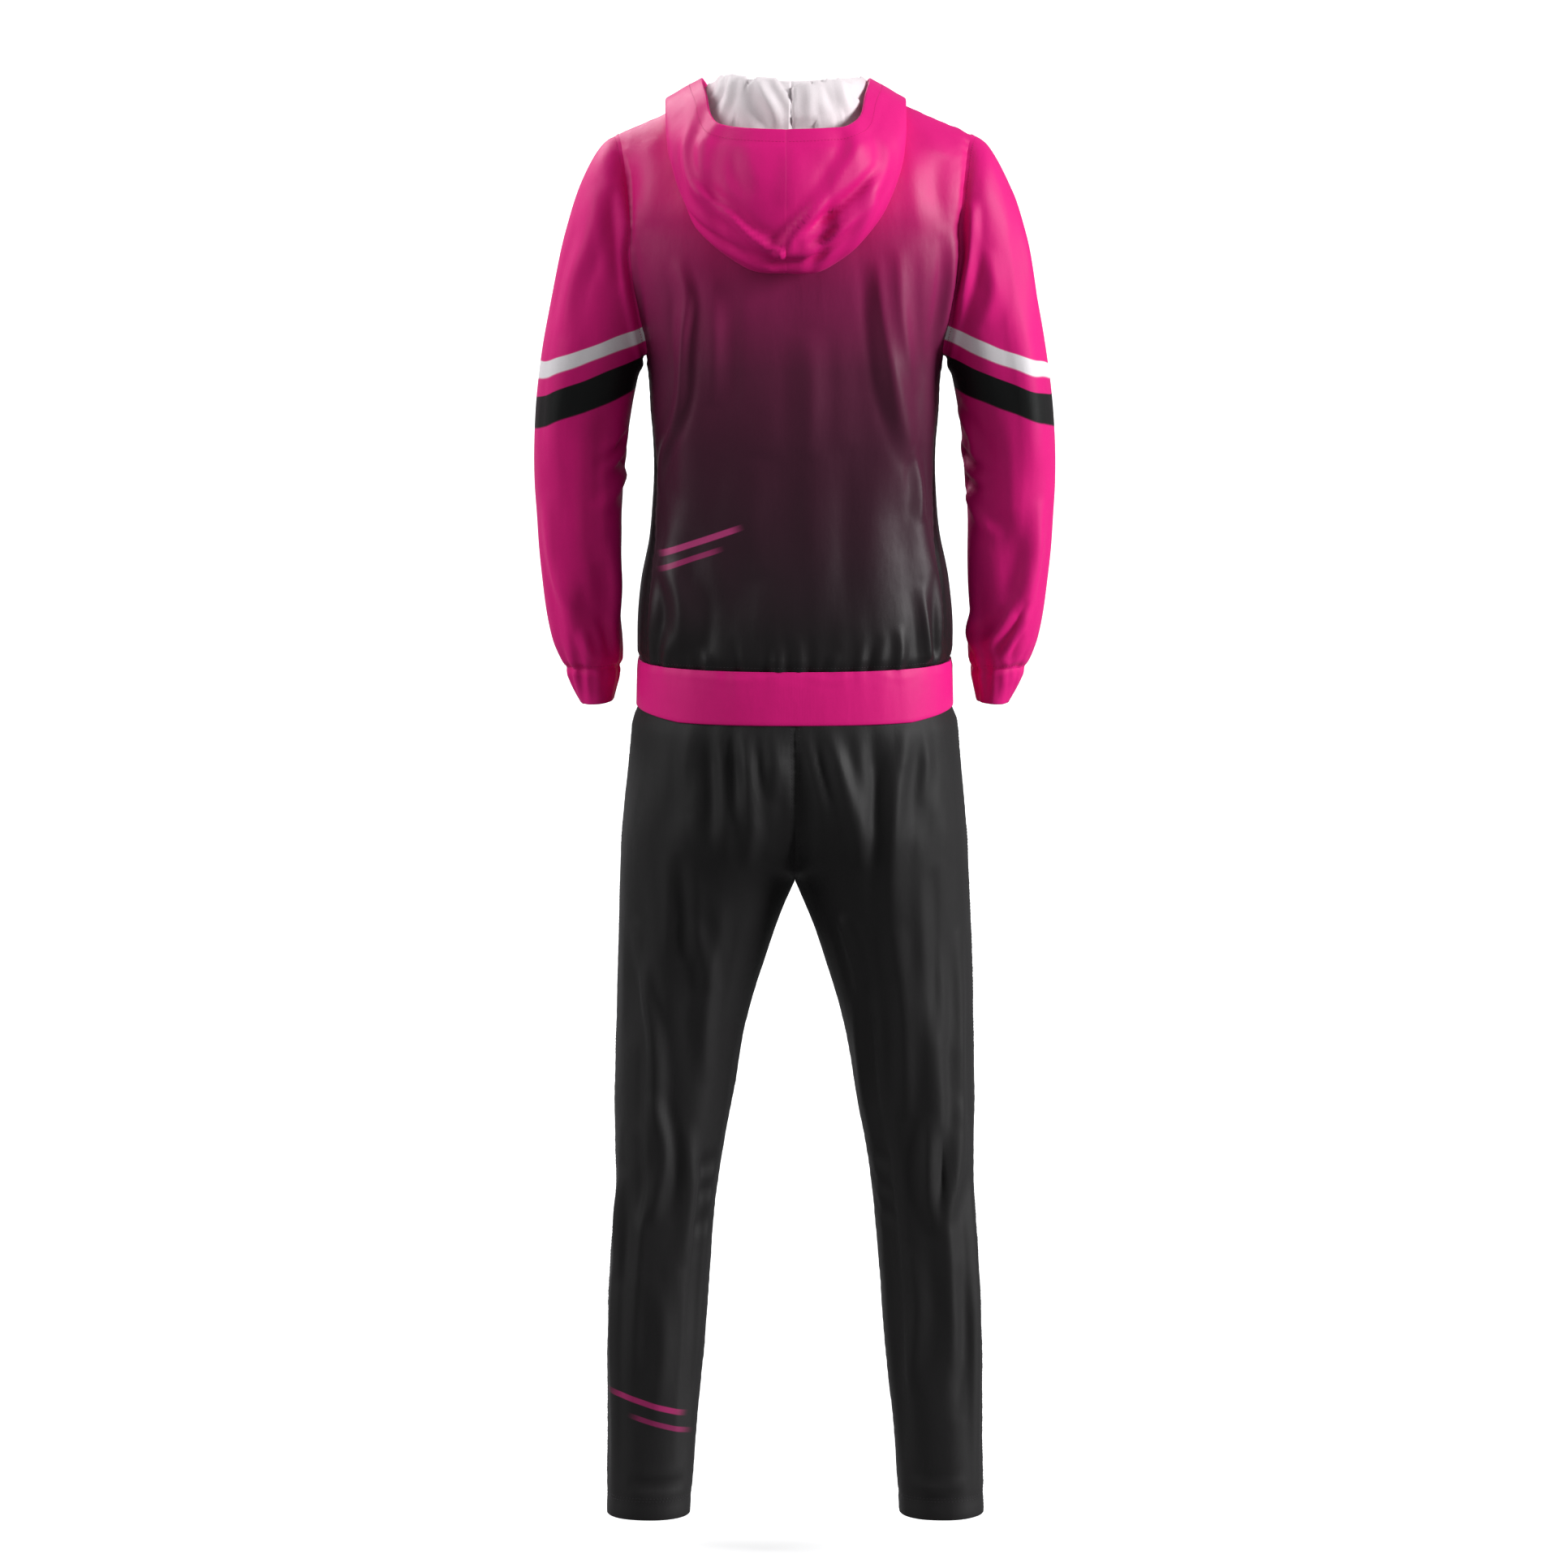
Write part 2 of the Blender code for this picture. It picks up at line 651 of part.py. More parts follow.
def jacket_pieces():
    back = body_panel(1)
    front = body_panel(-1)
    pieces = [
        sewn_piece("jacket_back", back, body_cloth, "jacket_knit",
                   ("first_row", "last_row", "first_column", "last_column"), flip=True),
        sewn_piece("jacket_front", front, body_cloth, "jacket_knit",
                   ("first_row", "last_row", "first_column", "last_column")),
    ]
    for side, label in ((1, "left"), (-1, "right")):
        gore = gore_panel(side)
        pieces.append(sewn_piece("jacket_side_" + label, gore, body_cloth, "black_knit",
                                 ("first_row", "last_row", "first_column", "last_column"), flip=side > 0))
        ring = armhole(side, back, front, gore)
        angles = sleeve_angles(ring)
        rows = [ring] + [tube_ring(sleeve_table, place, angles, side) for place in sleeve_table["ring"]]
        pieces.append(sewn_piece("sleeve_" + label, np.array(rows), sleeve_cloth, "pink_knit",
                                 ("first_row", "last_row"), True, side > 0))
        rows = [tube_ring(cuff_table, place, angles, side) for place in cuff_table["ring"]]
        pieces.append(sewn_piece("cuff_" + label, np.array(rows), band_cloth, "pink_knit",
                                 ("first_row",), True, side > 0))
    return pieces


def band_pieces():
    pieces = []
    band = np.array([section_ring(height, band_table) for height in band_table["height"][::-1]])
    pieces.append(sewn_piece("hem_band", band, band_cloth, "pink_knit", ("last_row",), True, True))
    waist = np.array([section_ring(height, pants_table) for height in steps(waist_seam, waist_top, 2)])
    pieces.append(sewn_piece("waistband", waist, pants_cloth, "charcoal_knit", ("first_row",), True, True))
    return pieces


def pants_pieces():
    pieces = []
    for side, label in ((1, "left"), (-1, "right")):
        for face, place in ((1, "back"), (-1, "front")):
            grid = pants_panel(side, face)
            pieces.append(sewn_piece("pants_" + place + "_" + label, grid, pants_cloth, "charcoal_knit",
                                     ("first_row", "first_column", "last_column"), flip=side * face < 0))
    return pieces


def hood_pieces():
    pieces = []
    for side, label in ((1, "left"), (-1, "right")):
        grid = hood_panel(side)
        pieces.append(sewn_piece("hood_" + label, grid, hood_cloth, "pink_knit",
                                 ("first_row", "last_column"), flip=side < 0))
    return pieces


def lining_pieces(hoods):
    # The lining follows the inside of the hood shell, one seam gap away
    pieces = []
    for hood in hoods:
        grid = hood["grid"] - hood["normal"] * (hood_cloth + seam_gap)
        lining = sewn_piece(hood["name"].replace("hood", "hood_lining"), grid, lining_cloth, "white_lining",
                            hood["edges"], flip=hood["flip"])
        lining["normal"] = hood["normal"]
        pieces.append(lining)
    return pieces


def build_tracksuit():
    hoods = hood_pieces()
    pieces = jacket_pieces() + band_pieces() + pants_pieces() + hoods
    share_normals(pieces)
    pieces += lining_pieces(hoods)
    parent = bpy.data.objects.new("tracksuit", None)
    bpy.context.scene.collection.objects.link(parent)
    for piece in pieces:
        build_cloth(piece).parent = parent


build_tracksuit()
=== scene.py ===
import math

import bpy
import numpy as np
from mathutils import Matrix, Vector, noise


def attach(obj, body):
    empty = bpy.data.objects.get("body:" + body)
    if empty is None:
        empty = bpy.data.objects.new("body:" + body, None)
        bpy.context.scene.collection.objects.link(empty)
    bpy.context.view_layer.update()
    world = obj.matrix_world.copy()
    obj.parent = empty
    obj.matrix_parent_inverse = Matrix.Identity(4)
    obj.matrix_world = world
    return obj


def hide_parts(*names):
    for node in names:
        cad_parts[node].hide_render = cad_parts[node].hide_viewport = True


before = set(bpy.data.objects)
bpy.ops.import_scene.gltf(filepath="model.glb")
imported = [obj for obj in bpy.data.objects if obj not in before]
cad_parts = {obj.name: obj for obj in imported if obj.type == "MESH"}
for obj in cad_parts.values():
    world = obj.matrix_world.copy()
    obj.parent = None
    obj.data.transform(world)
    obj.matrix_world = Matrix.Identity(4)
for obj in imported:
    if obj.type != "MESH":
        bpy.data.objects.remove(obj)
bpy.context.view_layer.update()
print("frame loaded with", len(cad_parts), "sewn pieces")

cameraSetup = {
    "place": (0.012, 8.0, 0.44),
    "target": (0.012, 0.0, -0.7370),
    "lens": 168.0,
}
bpy.ops.object.camera_add(location=cameraSetup["place"])
camera = bpy.context.object
camera.name = "camera"
view = Vector(cameraSetup["target"]) - Vector(cameraSetup["place"])
camera.rotation_euler = view.to_track_quat("-Z", "Y").to_euler()
camera.data.lens = cameraSetup["lens"]
camera.data.sensor_width = 36
camera.data.clip_end = 300
bpy.context.scene.camera = camera
bpy.context.scene.view_settings.view_transform = "Standard"
print("camera placed behind the wearer's back")

# The garment's form, in metres. The wearer would face -Y.

hoodCloth = 0.0014
seamGap = 0.0003

# Jacket sizes
yokeHeight = -0.120
underarmHeight = -0.262
jacketBottom = -0.596
sectionFullness = 2.4
shoulderFullness = 1.8
neckHalfWidth = 0.085
shoulderHalfWidth = 0.195
shoulderPeak = 0.062
shoulderSlope = 0.42
neckBackHeight = 0.012
neckFrontHeight = -0.052
armholeHalfDepth = 0.070
armholeMiddle = -0.145
goreTopHalf = 0.012

# Pants sizes
waistTop = -0.548
waistSeam = -0.588
crotchHeight = -0.844
legBottom = -1.556
legFullness = 2.3

# Grid counts
neckColumns = 12
yokeColumns = 8
rollRows = 10
yokeRows = 8
bodyRows = 18
goreColumns = 4
pantsColumns = 18
pantsTop = [-0.588, -0.600, -0.620, -0.645, -0.664]
seatStart = -0.677
seatRows = 12
legRows = 36


def table(columns, *rows):
    names = columns.split()
    return {name: [row[place] for row in rows] for place, name in enumerate(names)}


def read(source, column, where, key="height"):
    # Value of a column at a place along the key column, on a smooth curve through the rows
    keys = source[key]
    values = source[column]
    if keys[0] > keys[-1]:
        keys = keys[::-1]
        values = values[::-1]
    where = min(max(where, keys[0]), keys[-1])
    last = len(keys) - 2
    place = min(max(int(np.searchsorted(keys, where, side="right")) - 1, 0), last)
    span = keys[place + 1] - keys[place]
    part = (where - keys[place]) / span

    def slope(index):
        low = max(index - 1, 0)
        high = min(index + 1, len(keys) - 1)
        return (values[high] - values[low]) / (keys[high] - keys[low])

    start = values[place]
    end = values[place + 1]
    rise = part * part * (3 - 2 * part)
    curve = part * (1 - part) ** 2 * slope(place) - part * part * (1 - part) * slope(place + 1)
    return start + (end - start) * rise + span * curve


bodyTable = table(
    "height halfWidth back front goreHalf",
    (-0.120, 0.207, 0.116, 0.100, 0.012),
    (-0.160, 0.204, 0.119, 0.103, 0.012),
    (-0.210, 0.186, 0.119, 0.105, 0.012),
    (-0.262, 0.1630, 0.117, 0.106, 0.012),
    (-0.324, 0.1575, 0.112, 0.104, 0.016),
    (-0.369, 0.1540, 0.108, 0.103, 0.020),
    (-0.414, 0.1550, 0.107, 0.104, 0.026),
    (-0.459, 0.1590, 0.110, 0.107, 0.036),
    (-0.504, 0.1680, 0.116, 0.112, 0.048),
    (-0.549, 0.1730, 0.123, 0.117, 0.055),
    (-0.596, 0.1735, 0.127, 0.119, 0.057),
)

bandTable = table(
    "height halfWidth back front",
    (-0.596, 0.1735, 0.127, 0.119),
    (-0.620, 0.1745, 0.129, 0.120),
    (-0.645, 0.1750, 0.130, 0.121),
)

pantsTable = table(
    "height outer inner back front middle",
    (-0.548, 0.1580, -0.1580, 0.106, 0.102, 0.000),
    (-0.588, 0.1590, -0.1590, 0.112, 0.105, 0.000),
    (-0.600, 0.1655, -0.1655, 0.119, 0.111, 0.000),
    (-0.620, 0.1717, -0.1717, 0.1262, 0.1172, 0.000),
    (-0.645, 0.1722, -0.1722, 0.1272, 0.1182, 0.000),
    (-0.664, 0.1790, -0.1700, 0.131, 0.118, 0.000),
    (-0.700, 0.1825, -0.1450, 0.133, 0.115, 0.000),
    (-0.740, 0.1865, -0.1040, 0.132, 0.111, 0.000),
    (-0.774, 0.1895, -0.0700, 0.128, 0.107, 0.000),
    (-0.806, 0.1920, -0.0380, 0.121, 0.103, 0.000),
    (-0.830, 0.1932, -0.0130, 0.113, 0.099, 0.000),
    (-0.844, 0.1940, 0.0005, 0.108, 0.097, 0.000),
    (-0.864, 0.1950, 0.0100, 0.102, 0.094, 0.000),
    (-0.909, 0.1960, 0.0265, 0.094, 0.089, 0.000),
    (-0.999, 0.1980, 0.0535, 0.083, 0.080, 0.002),
    (-1.089, 0.2000, 0.0690, 0.072, 0.070, 0.004),
    (-1.179, 0.2000, 0.0846, 0.065, 0.063, 0.006),
    (-1.269, 0.2057, 0.0936, 0.060, 0.057, 0.008),
    (-1.359, 0.2090, 0.1000, 0.056, 0.052, 0.009),
    (-1.449, 0.2090, 0.1090, 0.052, 0.048, 0.010),
    (-1.556, 0.2106, 0.1165, 0.050, 0.046, 0.010),
)

# Each ring crosses the sleeve from its outer edge to its inner edge, and tips level on the way down.
sleeveTable = table(
    "ring outer outerHeight inner innerHeight depth middle",
    (1, 0.2130, -0.0370, 0.1668, -0.2655, 0.0725, 0.000),
    (2, 0.2350, -0.0765, 0.1686, -0.2700, 0.0735, 0.000),
    (3, 0.2490, -0.1200, 0.1703, -0.2765, 0.0725, 0.000),
    (4, 0.2600, -0.1670, 0.1722, -0.2850, 0.0700, 0.000),
    (5, 0.2690, -0.2150, 0.1745, -0.2965, 0.0670, 0.000),
    (6, 0.2770, -0.2620, 0.1775, -0.3120, 0.0640, -0.001),
    (7, 0.2830, -0.3100, 0.1815, -0.3360, 0.0610, -0.002),
    (8, 0.2862, -0.3560, 0.1855, -0.3660, 0.0585, -0.003),
    (9, 0.2866, -0.3980, 0.1880, -0.4020, 0.0565, -0.005),
    (10, 0.2845, -0.4380, 0.1905, -0.4380, 0.0545, -0.007),
    (11, 0.2825, -0.4740, 0.1915, -0.4740, 0.0530, -0.010),
    (12, 0.2790, -0.5100, 0.1922, -0.5100, 0.0510, -0.013),
    (13, 0.2745, -0.5450, 0.1928, -0.5450, 0.0490, -0.016),
    (14, 0.2680, -0.5750, 0.1910, -0.5750, 0.0465, -0.018),
    (15, 0.2600, -0.5950, 0.1915, -0.5950, 0.0430, -0.019),
    (16, 0.2530, -0.6080, 0.1940, -0.6080, 0.0385, -0.020),
)

cuffTable = table(
    "ring outer outerHeight inner innerHeight depth middle",
    (16, 0.2530, -0.6080, 0.1940, -0.6080, 0.0385, -0.020),
    (17, 0.2500, -0.6200, 0.1950, -0.6190, 0.0355, -0.020),
    (18, 0.2440, -0.6340, 0.1975, -0.6320, 0.0335, -0.021),
    (19, 0.2370, -0.6470, 0.2000, -0.6440, 0.0325, -0.021),
)

# Rings of the hood, from the neck seam over the stand and down the pouch to the free rim
hoodTable = table(
    "ring halfWidth back front sideHeight backHeight frontHeight",
    (1, 0.089, 0.086, 0.090, 0.0330, 0.0280, -0.0430),
    (2, 0.094, 0.091, 0.093, 0.0375, 0.0370, -0.0360),
    (3, 0.100, 0.100, 0.098, 0.0385, 0.0390, -0.0330),
    (4, 0.107, 0.112, 0.102, 0.0330, 0.0210, -0.0360),
    (5, 0.112, 0.124, 0.105, 0.0260, -0.0250, -0.0420),
    (6, 0.117, 0.131, 0.107, 0.0200, -0.0830, -0.0490),
    (7, 0.122, 0.138, 0.110, 0.0165, -0.1330, -0.0560),
    (8, 0.130, 0.154, 0.117, 0.0150, -0.1600, -0.0620),
    (9, 0.1390, 0.174, 0.125, 0.0155, -0.1500, -0.0620),
    (10, 0.1420, 0.186, 0.130, 0.0180, -0.1150, -0.0560),
    (11, 0.1410, 0.185, 0.131, 0.0220, -0.0720, -0.0490),
    (12, 0.1360, 0.173, 0.129, 0.0260, -0.0340, -0.0430),
    (13, 0.1290, 0.157, 0.126, 0.0290, -0.0070, -0.0370),
)
hoodFrontTurn = 15.0
hoodFrontLean = 15.0
hoodTaperTurn = 40.0
hoodFrontSize = 0.62
hoodBackDrop = 5.0
hoodFrontDrop = 2.0
hoodPlanFullness = 2.5
hoodClearance = 0.050
leastYokeDepth = 0.020
foldEndSoftness = 0.8

# Largest folds: turn in degrees from the centre back, ends, half width, depth and lean of each
bodyFolds = table(
    "turn top bottom halfTurn depth lean",
    (40, -0.125, -0.46, 19, 0.008, 12),
    (-38, -0.125, -0.42, 18, 0.008, -10),
    (14, -0.36, -0.58, 17, -0.006, 16),
    (-58, -0.38, -0.59, 16, 0.006, -8),
    (54, -0.42, -0.59, 16, 0.007, 6),
    (140, -0.125, -0.48, 20, 0.007, -10),
    (-138, -0.125, -0.44, 20, 0.007, 12),
    (-168, -0.34, -0.58, 18, -0.006, 8),
)

legFolds = table(
    "turn top bottom halfTurn depth lean",
    (2, -0.66, -0.90, 16, 0.006, -6),
    (40, -0.68, -1.02, 16, -0.006, 10),
    (18, -0.92, -1.40, 18, 0.006, 10),
    (-44, -0.98, -1.50, 20, -0.006, -8),
    (58, -1.10, -1.54, 20, 0.005, -10),
    (176, -0.70, -1.10, 18, 0.006, 4),
    (140, -0.86, -1.36, 20, -0.006, -6),
    (206, -1.00, -1.50, 20, 0.006, 6),
)

sleeveFolds = table(
    "turn top bottom halfTurn depth lean",
    (62, -0.20, -0.40, 30, 0.005, 10),
    (112, -0.30, -0.50, 26, -0.005, -14),
    (72, -0.46, -0.60, 28, 0.006, 18),
    (150, -0.42, -0.60, 30, 0.006, -10),
    (-66, -0.24, -0.46, 30, 0.005, 8),
    (-112, -0.40, -0.58, 28, -0.005, 10),
)

hoodFolds = table(
    "turn top bottom halfTurn depth lean",
    (140, 8, 14, 10, 0.006, 5),
    (-145, 8, 14, 9, 0.007, -8),
    (-165, 8, 12, 8, -0.005, 6),
)


def signedPower(value, power):
    return math.copysign(abs(value) ** power, value)


def shoulderTop(x):
    return shoulderPeak - shoulderSlope * abs(x)


def yokeDepth(x, side):
    # Depth of the jacket at the yoke line, side +1 at the back and -1 at the front
    column = "back" if side > 0 else "front"
    part = min(abs(x) / read(bodyTable, "halfWidth", yokeHeight), 1.0)
    return read(bodyTable, column, yokeHeight) * (1 - part**sectionFullness) ** (1 / sectionFullness)


def foldHeight(folds, turn, place):
    # How far the cloth stands out of its plain section at a turn and a height, or a ring on the hood
    total = 0.0
    for row in range(len(folds["turn"])):
        top = folds["top"][row]
        bottom = folds["bottom"][row]
        along = (place - top) / (bottom - top)
        if not 0 < along < 1:
            continue
        middle = folds["turn"][row] + folds["lean"][row] * (along - 0.5)
        away = (turn - middle + 180) % 360 - 180
        across = abs(away) / folds["halfTurn"][row]
        if across >= 1:
            continue
        ends = math.sin(math.pi * along) ** foldEndSoftness
        total += folds["depth"][row] * ends * (1 + math.cos(math.pi * across)) / 2
    return total


def swell(point, middle, amount):
    # Moves a point out of its section, level with its height
    away = np.array([point[0] - middle[0], point[1] - middle[1], 0.0])
    length = np.linalg.norm(away)
    return point + away / length * amount if length > 1e-9 else point


def bodyPoint(height, turn, source=bodyTable, folds=bodyFolds):
    # A point of the closed jacket section, turn in degrees from the centre back
    sine = math.sin(math.radians(turn))
    cosine = math.cos(math.radians(turn))
    depth = read(source, "back" if cosine > 0 else "front", height)
    power = 2 / sectionFullness
    x = read(source, "halfWidth", height) * signedPower(sine, power)
    y = depth * signedPower(cosine, power)
    point = np.array([x, y, height])
    if folds is None:
        return point
    return swell(point, (0.0, 0.0), foldHeight(folds, turn, height))


def edgeTurn(height, side):
    # Where a body panel ends: at the side gore, and above it at the armhole's oval
    column = "back" if side > 0 else "front"
    half = read(bodyTable, "goreHalf", height)
    if height > underarmHeight:
        drop = max(armholeMiddle - height, 0.0) / (armholeMiddle - underarmHeight)
        half = goreTopHalf + (armholeHalfDepth - goreTopHalf) * math.sqrt(max(1 - drop * drop, 0.0))
    share = half / read(bodyTable, column, height)
    return math.degrees(math.acos(share ** (sectionFullness / 2)))


def neckEdge(share, side):
    # x and height of the neck edge, share 0 at the centre and 1 at the shoulder seam
    middle = neckBackHeight if side > 0 else neckFrontHeight
    x = neckHalfWidth * math.sin(share * math.pi / 2)
    rise = math.sin(share * math.pi / 2) ** 2
    return x, middle + (shoulderTop(neckHalfWidth) - middle) * rise


def topEdge(column, side):
    # x and rise of a body panel's top edge, along the neck and then the shoulder seam
    place = abs(column)
    if place <= neckColumns:
        x, height = neckEdge(place / neckColumns, side)
        share = (height - yokeHeight) / (shoulderTop(x) - yokeHeight)
    else:
        x = neckHalfWidth + (shoulderHalfWidth - neckHalfWidth) * (place - neckColumns) / yokeColumns
        share = 1.0
    return math.copysign(x, column), min(share, 1.0)


def yokePoint(column, rise, side):
    # A point between the yoke line and the shoulder seam, where the body rolls over the shoulder
    count = neckColumns + yokeColumns
    turn = edgeTurn(yokeHeight, side) * column / count
    start = bodyPoint(yokeHeight, turn if side > 0 else 180 - turn, folds=None)
    endX, endShare = topEdge(column, side)
    share = math.sin(rise * math.asin(endShare))
    x = start[0] + (endX - start[0]) * rise
    height = yokeHeight + (shoulderTop(x) - yokeHeight) * share
    depth = yokeDepth(x, side) * (1 - share**shoulderFullness) ** (1 / shoulderFullness)
    return np.array([x, side * depth, height])


def steps(start, end, count):
    return [start + (end - start) * index / count for index in range(count + 1)]


bodyHeights = steps(jacketBottom, underarmHeight, bodyRows)
yokeHeights = [yokeHeight + (underarmHeight - yokeHeight) * math.sin(part * math.pi / 2)
                for part in steps(1.0, 0.0, yokeRows)]


def bodyPanel(side):
    # Grid of the jacket's back or front, from its bottom edge up to the neck and shoulder seams
    count = neckColumns + yokeColumns
    columns = range(-count, count + 1)
    grid = []
    for height in bodyHeights + yokeHeights[1:]:
        limit = edgeTurn(height, side)
        turns = [limit * column / count for column in columns]
        grid.append([bodyPoint(height, turn if side > 0 else 180 - turn) for turn in turns])
    for rise in steps(0.0, 1.0, rollRows)[1:]:
        grid.append([yokePoint(column, rise, side) for column in columns])
    return np.array(grid)


def gorePanel(side):
    # Grid of a side gore, from the jacket's bottom edge to the armhole
    grid = []
    for height in bodyHeights:
        start = edgeTurn(height, 1)
        end = 180 - edgeTurn(height, -1)
        grid.append([bodyPoint(height, side * turn) for turn in steps(start, end, goreColumns)])
    return np.array(grid)


def armhole(side, back, front, gore):
    # The sewn ring round one armhole: down the back edge, under the arm and up the front edge
    edge = -1 if side > 0 else 0
    opening = -1 - rollRows - yokeRows
    down = back[opening:, edge][::-1]
    up = front[opening:, edge]
    under = gore[-1][1:-1]
    return np.concatenate([down, under, up[:-1]])


def tubeRing(source, ring, angles, side):
    # One ring of a sleeve or cuff
    outer = np.array([read(source, "outer", ring, "ring"), 0, read(source, "outerHeight", ring, "ring")])
    inner = np.array([read(source, "inner", ring, "ring"), 0, read(source, "innerHeight", ring, "ring")])
    middle = (outer + inner) / 2
    middle[1] = read(source, "middle", ring, "ring")
    half = (outer - inner) / 2
    depth = read(source, "depth", ring, "ring")
    power = 2 / legFullness
    points = []
    for angle in angles:
        across = signedPower(math.cos(angle), power)
        back = signedPower(math.sin(angle), power)
        point = middle + half * across + np.array([0, depth * back, 0])
        if ring < sleeveTable["ring"][-1]:
            point = swell(point, middle, foldHeight(sleeveFolds, math.degrees(angle), point[2]))
        points.append(point * np.array([side, 1, 1]))
    return points


def sleeveAngles(ringPoints):
    # Angle of each armhole point about the middle of the armhole, 0 at the shoulder tip
    points = np.abs(ringPoints[:, 0])[:, None] * [1, 0, 0] + ringPoints * [0, 1, 1]
    top = points[0]
    bottom = points[len(points) // 2]
    middle = (top + bottom) / 2
    axis = (top - bottom) / 2
    half = np.linalg.norm(axis)
    across = (points - middle) @ (axis / half) / half
    back = (points[:, 1] - middle[1]) / armholeHalfDepth
    power = legFullness / 2
    return [math.atan2(signedPower(b, power), signedPower(a, power)) for a, b in zip(across, back)]


def legTurn(height):
    # How far the inner edge of a pants panel lies past the leg's centre line
    outer = read(pantsTable, "outer", height)
    inner = read(pantsTable, "inner", height)
    share = min(max((outer + inner) / (outer - inner), 0.0), 1.0)
    return math.degrees(math.asin(share ** (legFullness / 2)))


def legPoint(height, turn, side, folds=legFolds):
    outer = read(pantsTable, "outer", height)
    inner = read(pantsTable, "inner", height)
    centre = (outer + inner) / 2
    middle = read(pantsTable, "middle", height)
    sine = math.sin(math.radians(turn))
    cosine = math.cos(math.radians(turn))
    depth = read(pantsTable, "back" if cosine > 0 else "front", height)
    power = 2 / legFullness
    x = centre + (outer - inner) / 2 * signedPower(sine, power)
    point = np.array([x, middle + depth * signedPower(cosine, power), height])
    if folds is not None:
        point = swell(point, (centre, middle), foldHeight(folds, turn, height))
    return point * np.array([side, 1, 1])


def pantsHeights():
    seat = steps(seatStart, crotchHeight, seatRows)
    legs = steps(crotchHeight, legBottom, legRows)[1:]
    return pantsTop + seat + legs


def pantsPanel(side, face):
    # Grid of one pants panel, from the waist seam to the hem. Its last column is the side seam.
    grid = []
    for height in pantsHeights():
        inner = legTurn(height)
        if face > 0:
            turns = steps(-inner, 90, pantsColumns)
        else:
            turns = steps(180 + inner, 90, pantsColumns)
        row = np.array([legPoint(height, turn, side) for turn in turns])
        if height >= crotchHeight:
            row[:, 0] = side * np.maximum(side * row[:, 0], 0.0)
            row[0, 0] = 0.0
        grid.append(row)
    return np.array(grid)


def sectionRing(height, source):
    # A closed level ring whose columns line up with those of the pants
    quarter = steps(0, 90, pantsColumns)
    turns = quarter[:-1] + [180 - turn for turn in quarter[::-1]]
    turns = turns[:-1] + [180 + turn for turn in quarter[:-1]] + [360 - turn for turn in quarter[::-1]][:-1]
    if source is bandTable:
        return [bodyPoint(height, turn, source, None) for turn in turns]
    return [legPoint(height, turn, 1, None) for turn in turns]


def hoodTurns(side):
    # Turns of the hood's columns, matched to the neck edge of the front and back
    front = steps(hoodFrontTurn, 90, neckColumns)
    back = steps(90, 180, neckColumns)[1:]
    return [side * turn for turn in front + back]


def liftOverJacket(point):
    # Moves a point of the hood out until it clears the jacket below it
    side = 1 if point[1] > 0 else -1
    depth = yokeDepth(point[0], side)
    top = shoulderTop(point[0])
    across = abs(point[1]) / max(depth, leastYokeDepth)
    rise = max(point[2] - yokeHeight, 0.0) / (top - yokeHeight)
    reach = (across**shoulderFullness + rise**shoulderFullness) ** (1 / shoulderFullness)
    least = 1 + hoodClearance
    if reach >= least:
        return point
    scale = least / reach
    height = point[2] if point[2] < yokeHeight else yokeHeight + (point[2] - yokeHeight) * scale
    return np.array([point[0], point[1] * scale, height])


def neckPoint(turn):
    side = 1 if abs(turn) > 90 else -1
    share = abs(turn) / 90 if side < 0 else (180 - abs(turn)) / 90
    x, height = neckEdge(share, side)
    top = shoulderTop(x)
    rise = min((height - yokeHeight) / (top - yokeHeight), 1.0)
    depth = yokeDepth(x, side) * (1 - rise**shoulderFullness) ** (1 / shoulderFullness)
    return np.array([math.copysign(x, turn), side * depth, height])


def hoodPoint(ring, turn):
    # A point of the hood shell. Ring 0 is the neck seam and the last ring the free rim.
    if ring == 0:
        return neckPoint(turn)
    openShare = min((abs(turn) - hoodFrontTurn) / hoodTaperTurn, 1.0)
    lean = hoodFrontLean * (1 - openShare) * ring / hoodTable["ring"][-1]
    sine = math.sin(math.radians(turn - math.copysign(lean, turn)))
    cosine = -math.cos(math.radians(turn))
    halfWidth = read(hoodTable, "halfWidth", ring, "ring")
    depth = read(hoodTable, "back" if cosine > 0 else "front", ring, "ring")
    middle = read(hoodTable, "backHeight" if cosine > 0 else "frontHeight", ring, "ring")
    drop = hoodBackDrop if cosine > 0 else hoodFrontDrop
    sideHeight = read(hoodTable, "sideHeight", ring, "ring")
    power = 2 / hoodPlanFullness
    x = halfWidth * signedPower(sine, power)
    y = depth * signedPower(cosine, power)
    height = middle + (sideHeight - middle) * abs(sine) ** drop
    point = np.array([x, y, height])
    point = swell(point, (0.0, 0.0), foldHeight(hoodFolds, turn, ring))
    neck = neckPoint(turn)
    size = hoodFrontSize + (1 - hoodFrontSize) * math.sin(openShare * math.pi / 2)
    return liftOverJacket(neck + (point - neck) * size)


def hoodPanel(side):
    rings = [0] + hoodTable["ring"]
    turns = hoodTurns(side)
    grid = np.array([[hoodPoint(ring, turn) for turn in turns] for ring in rings])
    grid[:, -1, 0] = 0.0
    return grid


def gridNormals(grid, wrap, flip):
    # Normals from the differences between neighbouring points
    if wrap:
        across = (np.roll(grid, -1, axis=1) - np.roll(grid, 1, axis=1)) / 2
    else:
        across = np.gradient(grid, axis=1)
    along = np.gradient(grid, axis=0)
    normal = np.cross(across, along) * (-1 if flip else 1)
    return normal / np.maximum(np.linalg.norm(normal, axis=2, keepdims=True), 1e-12)


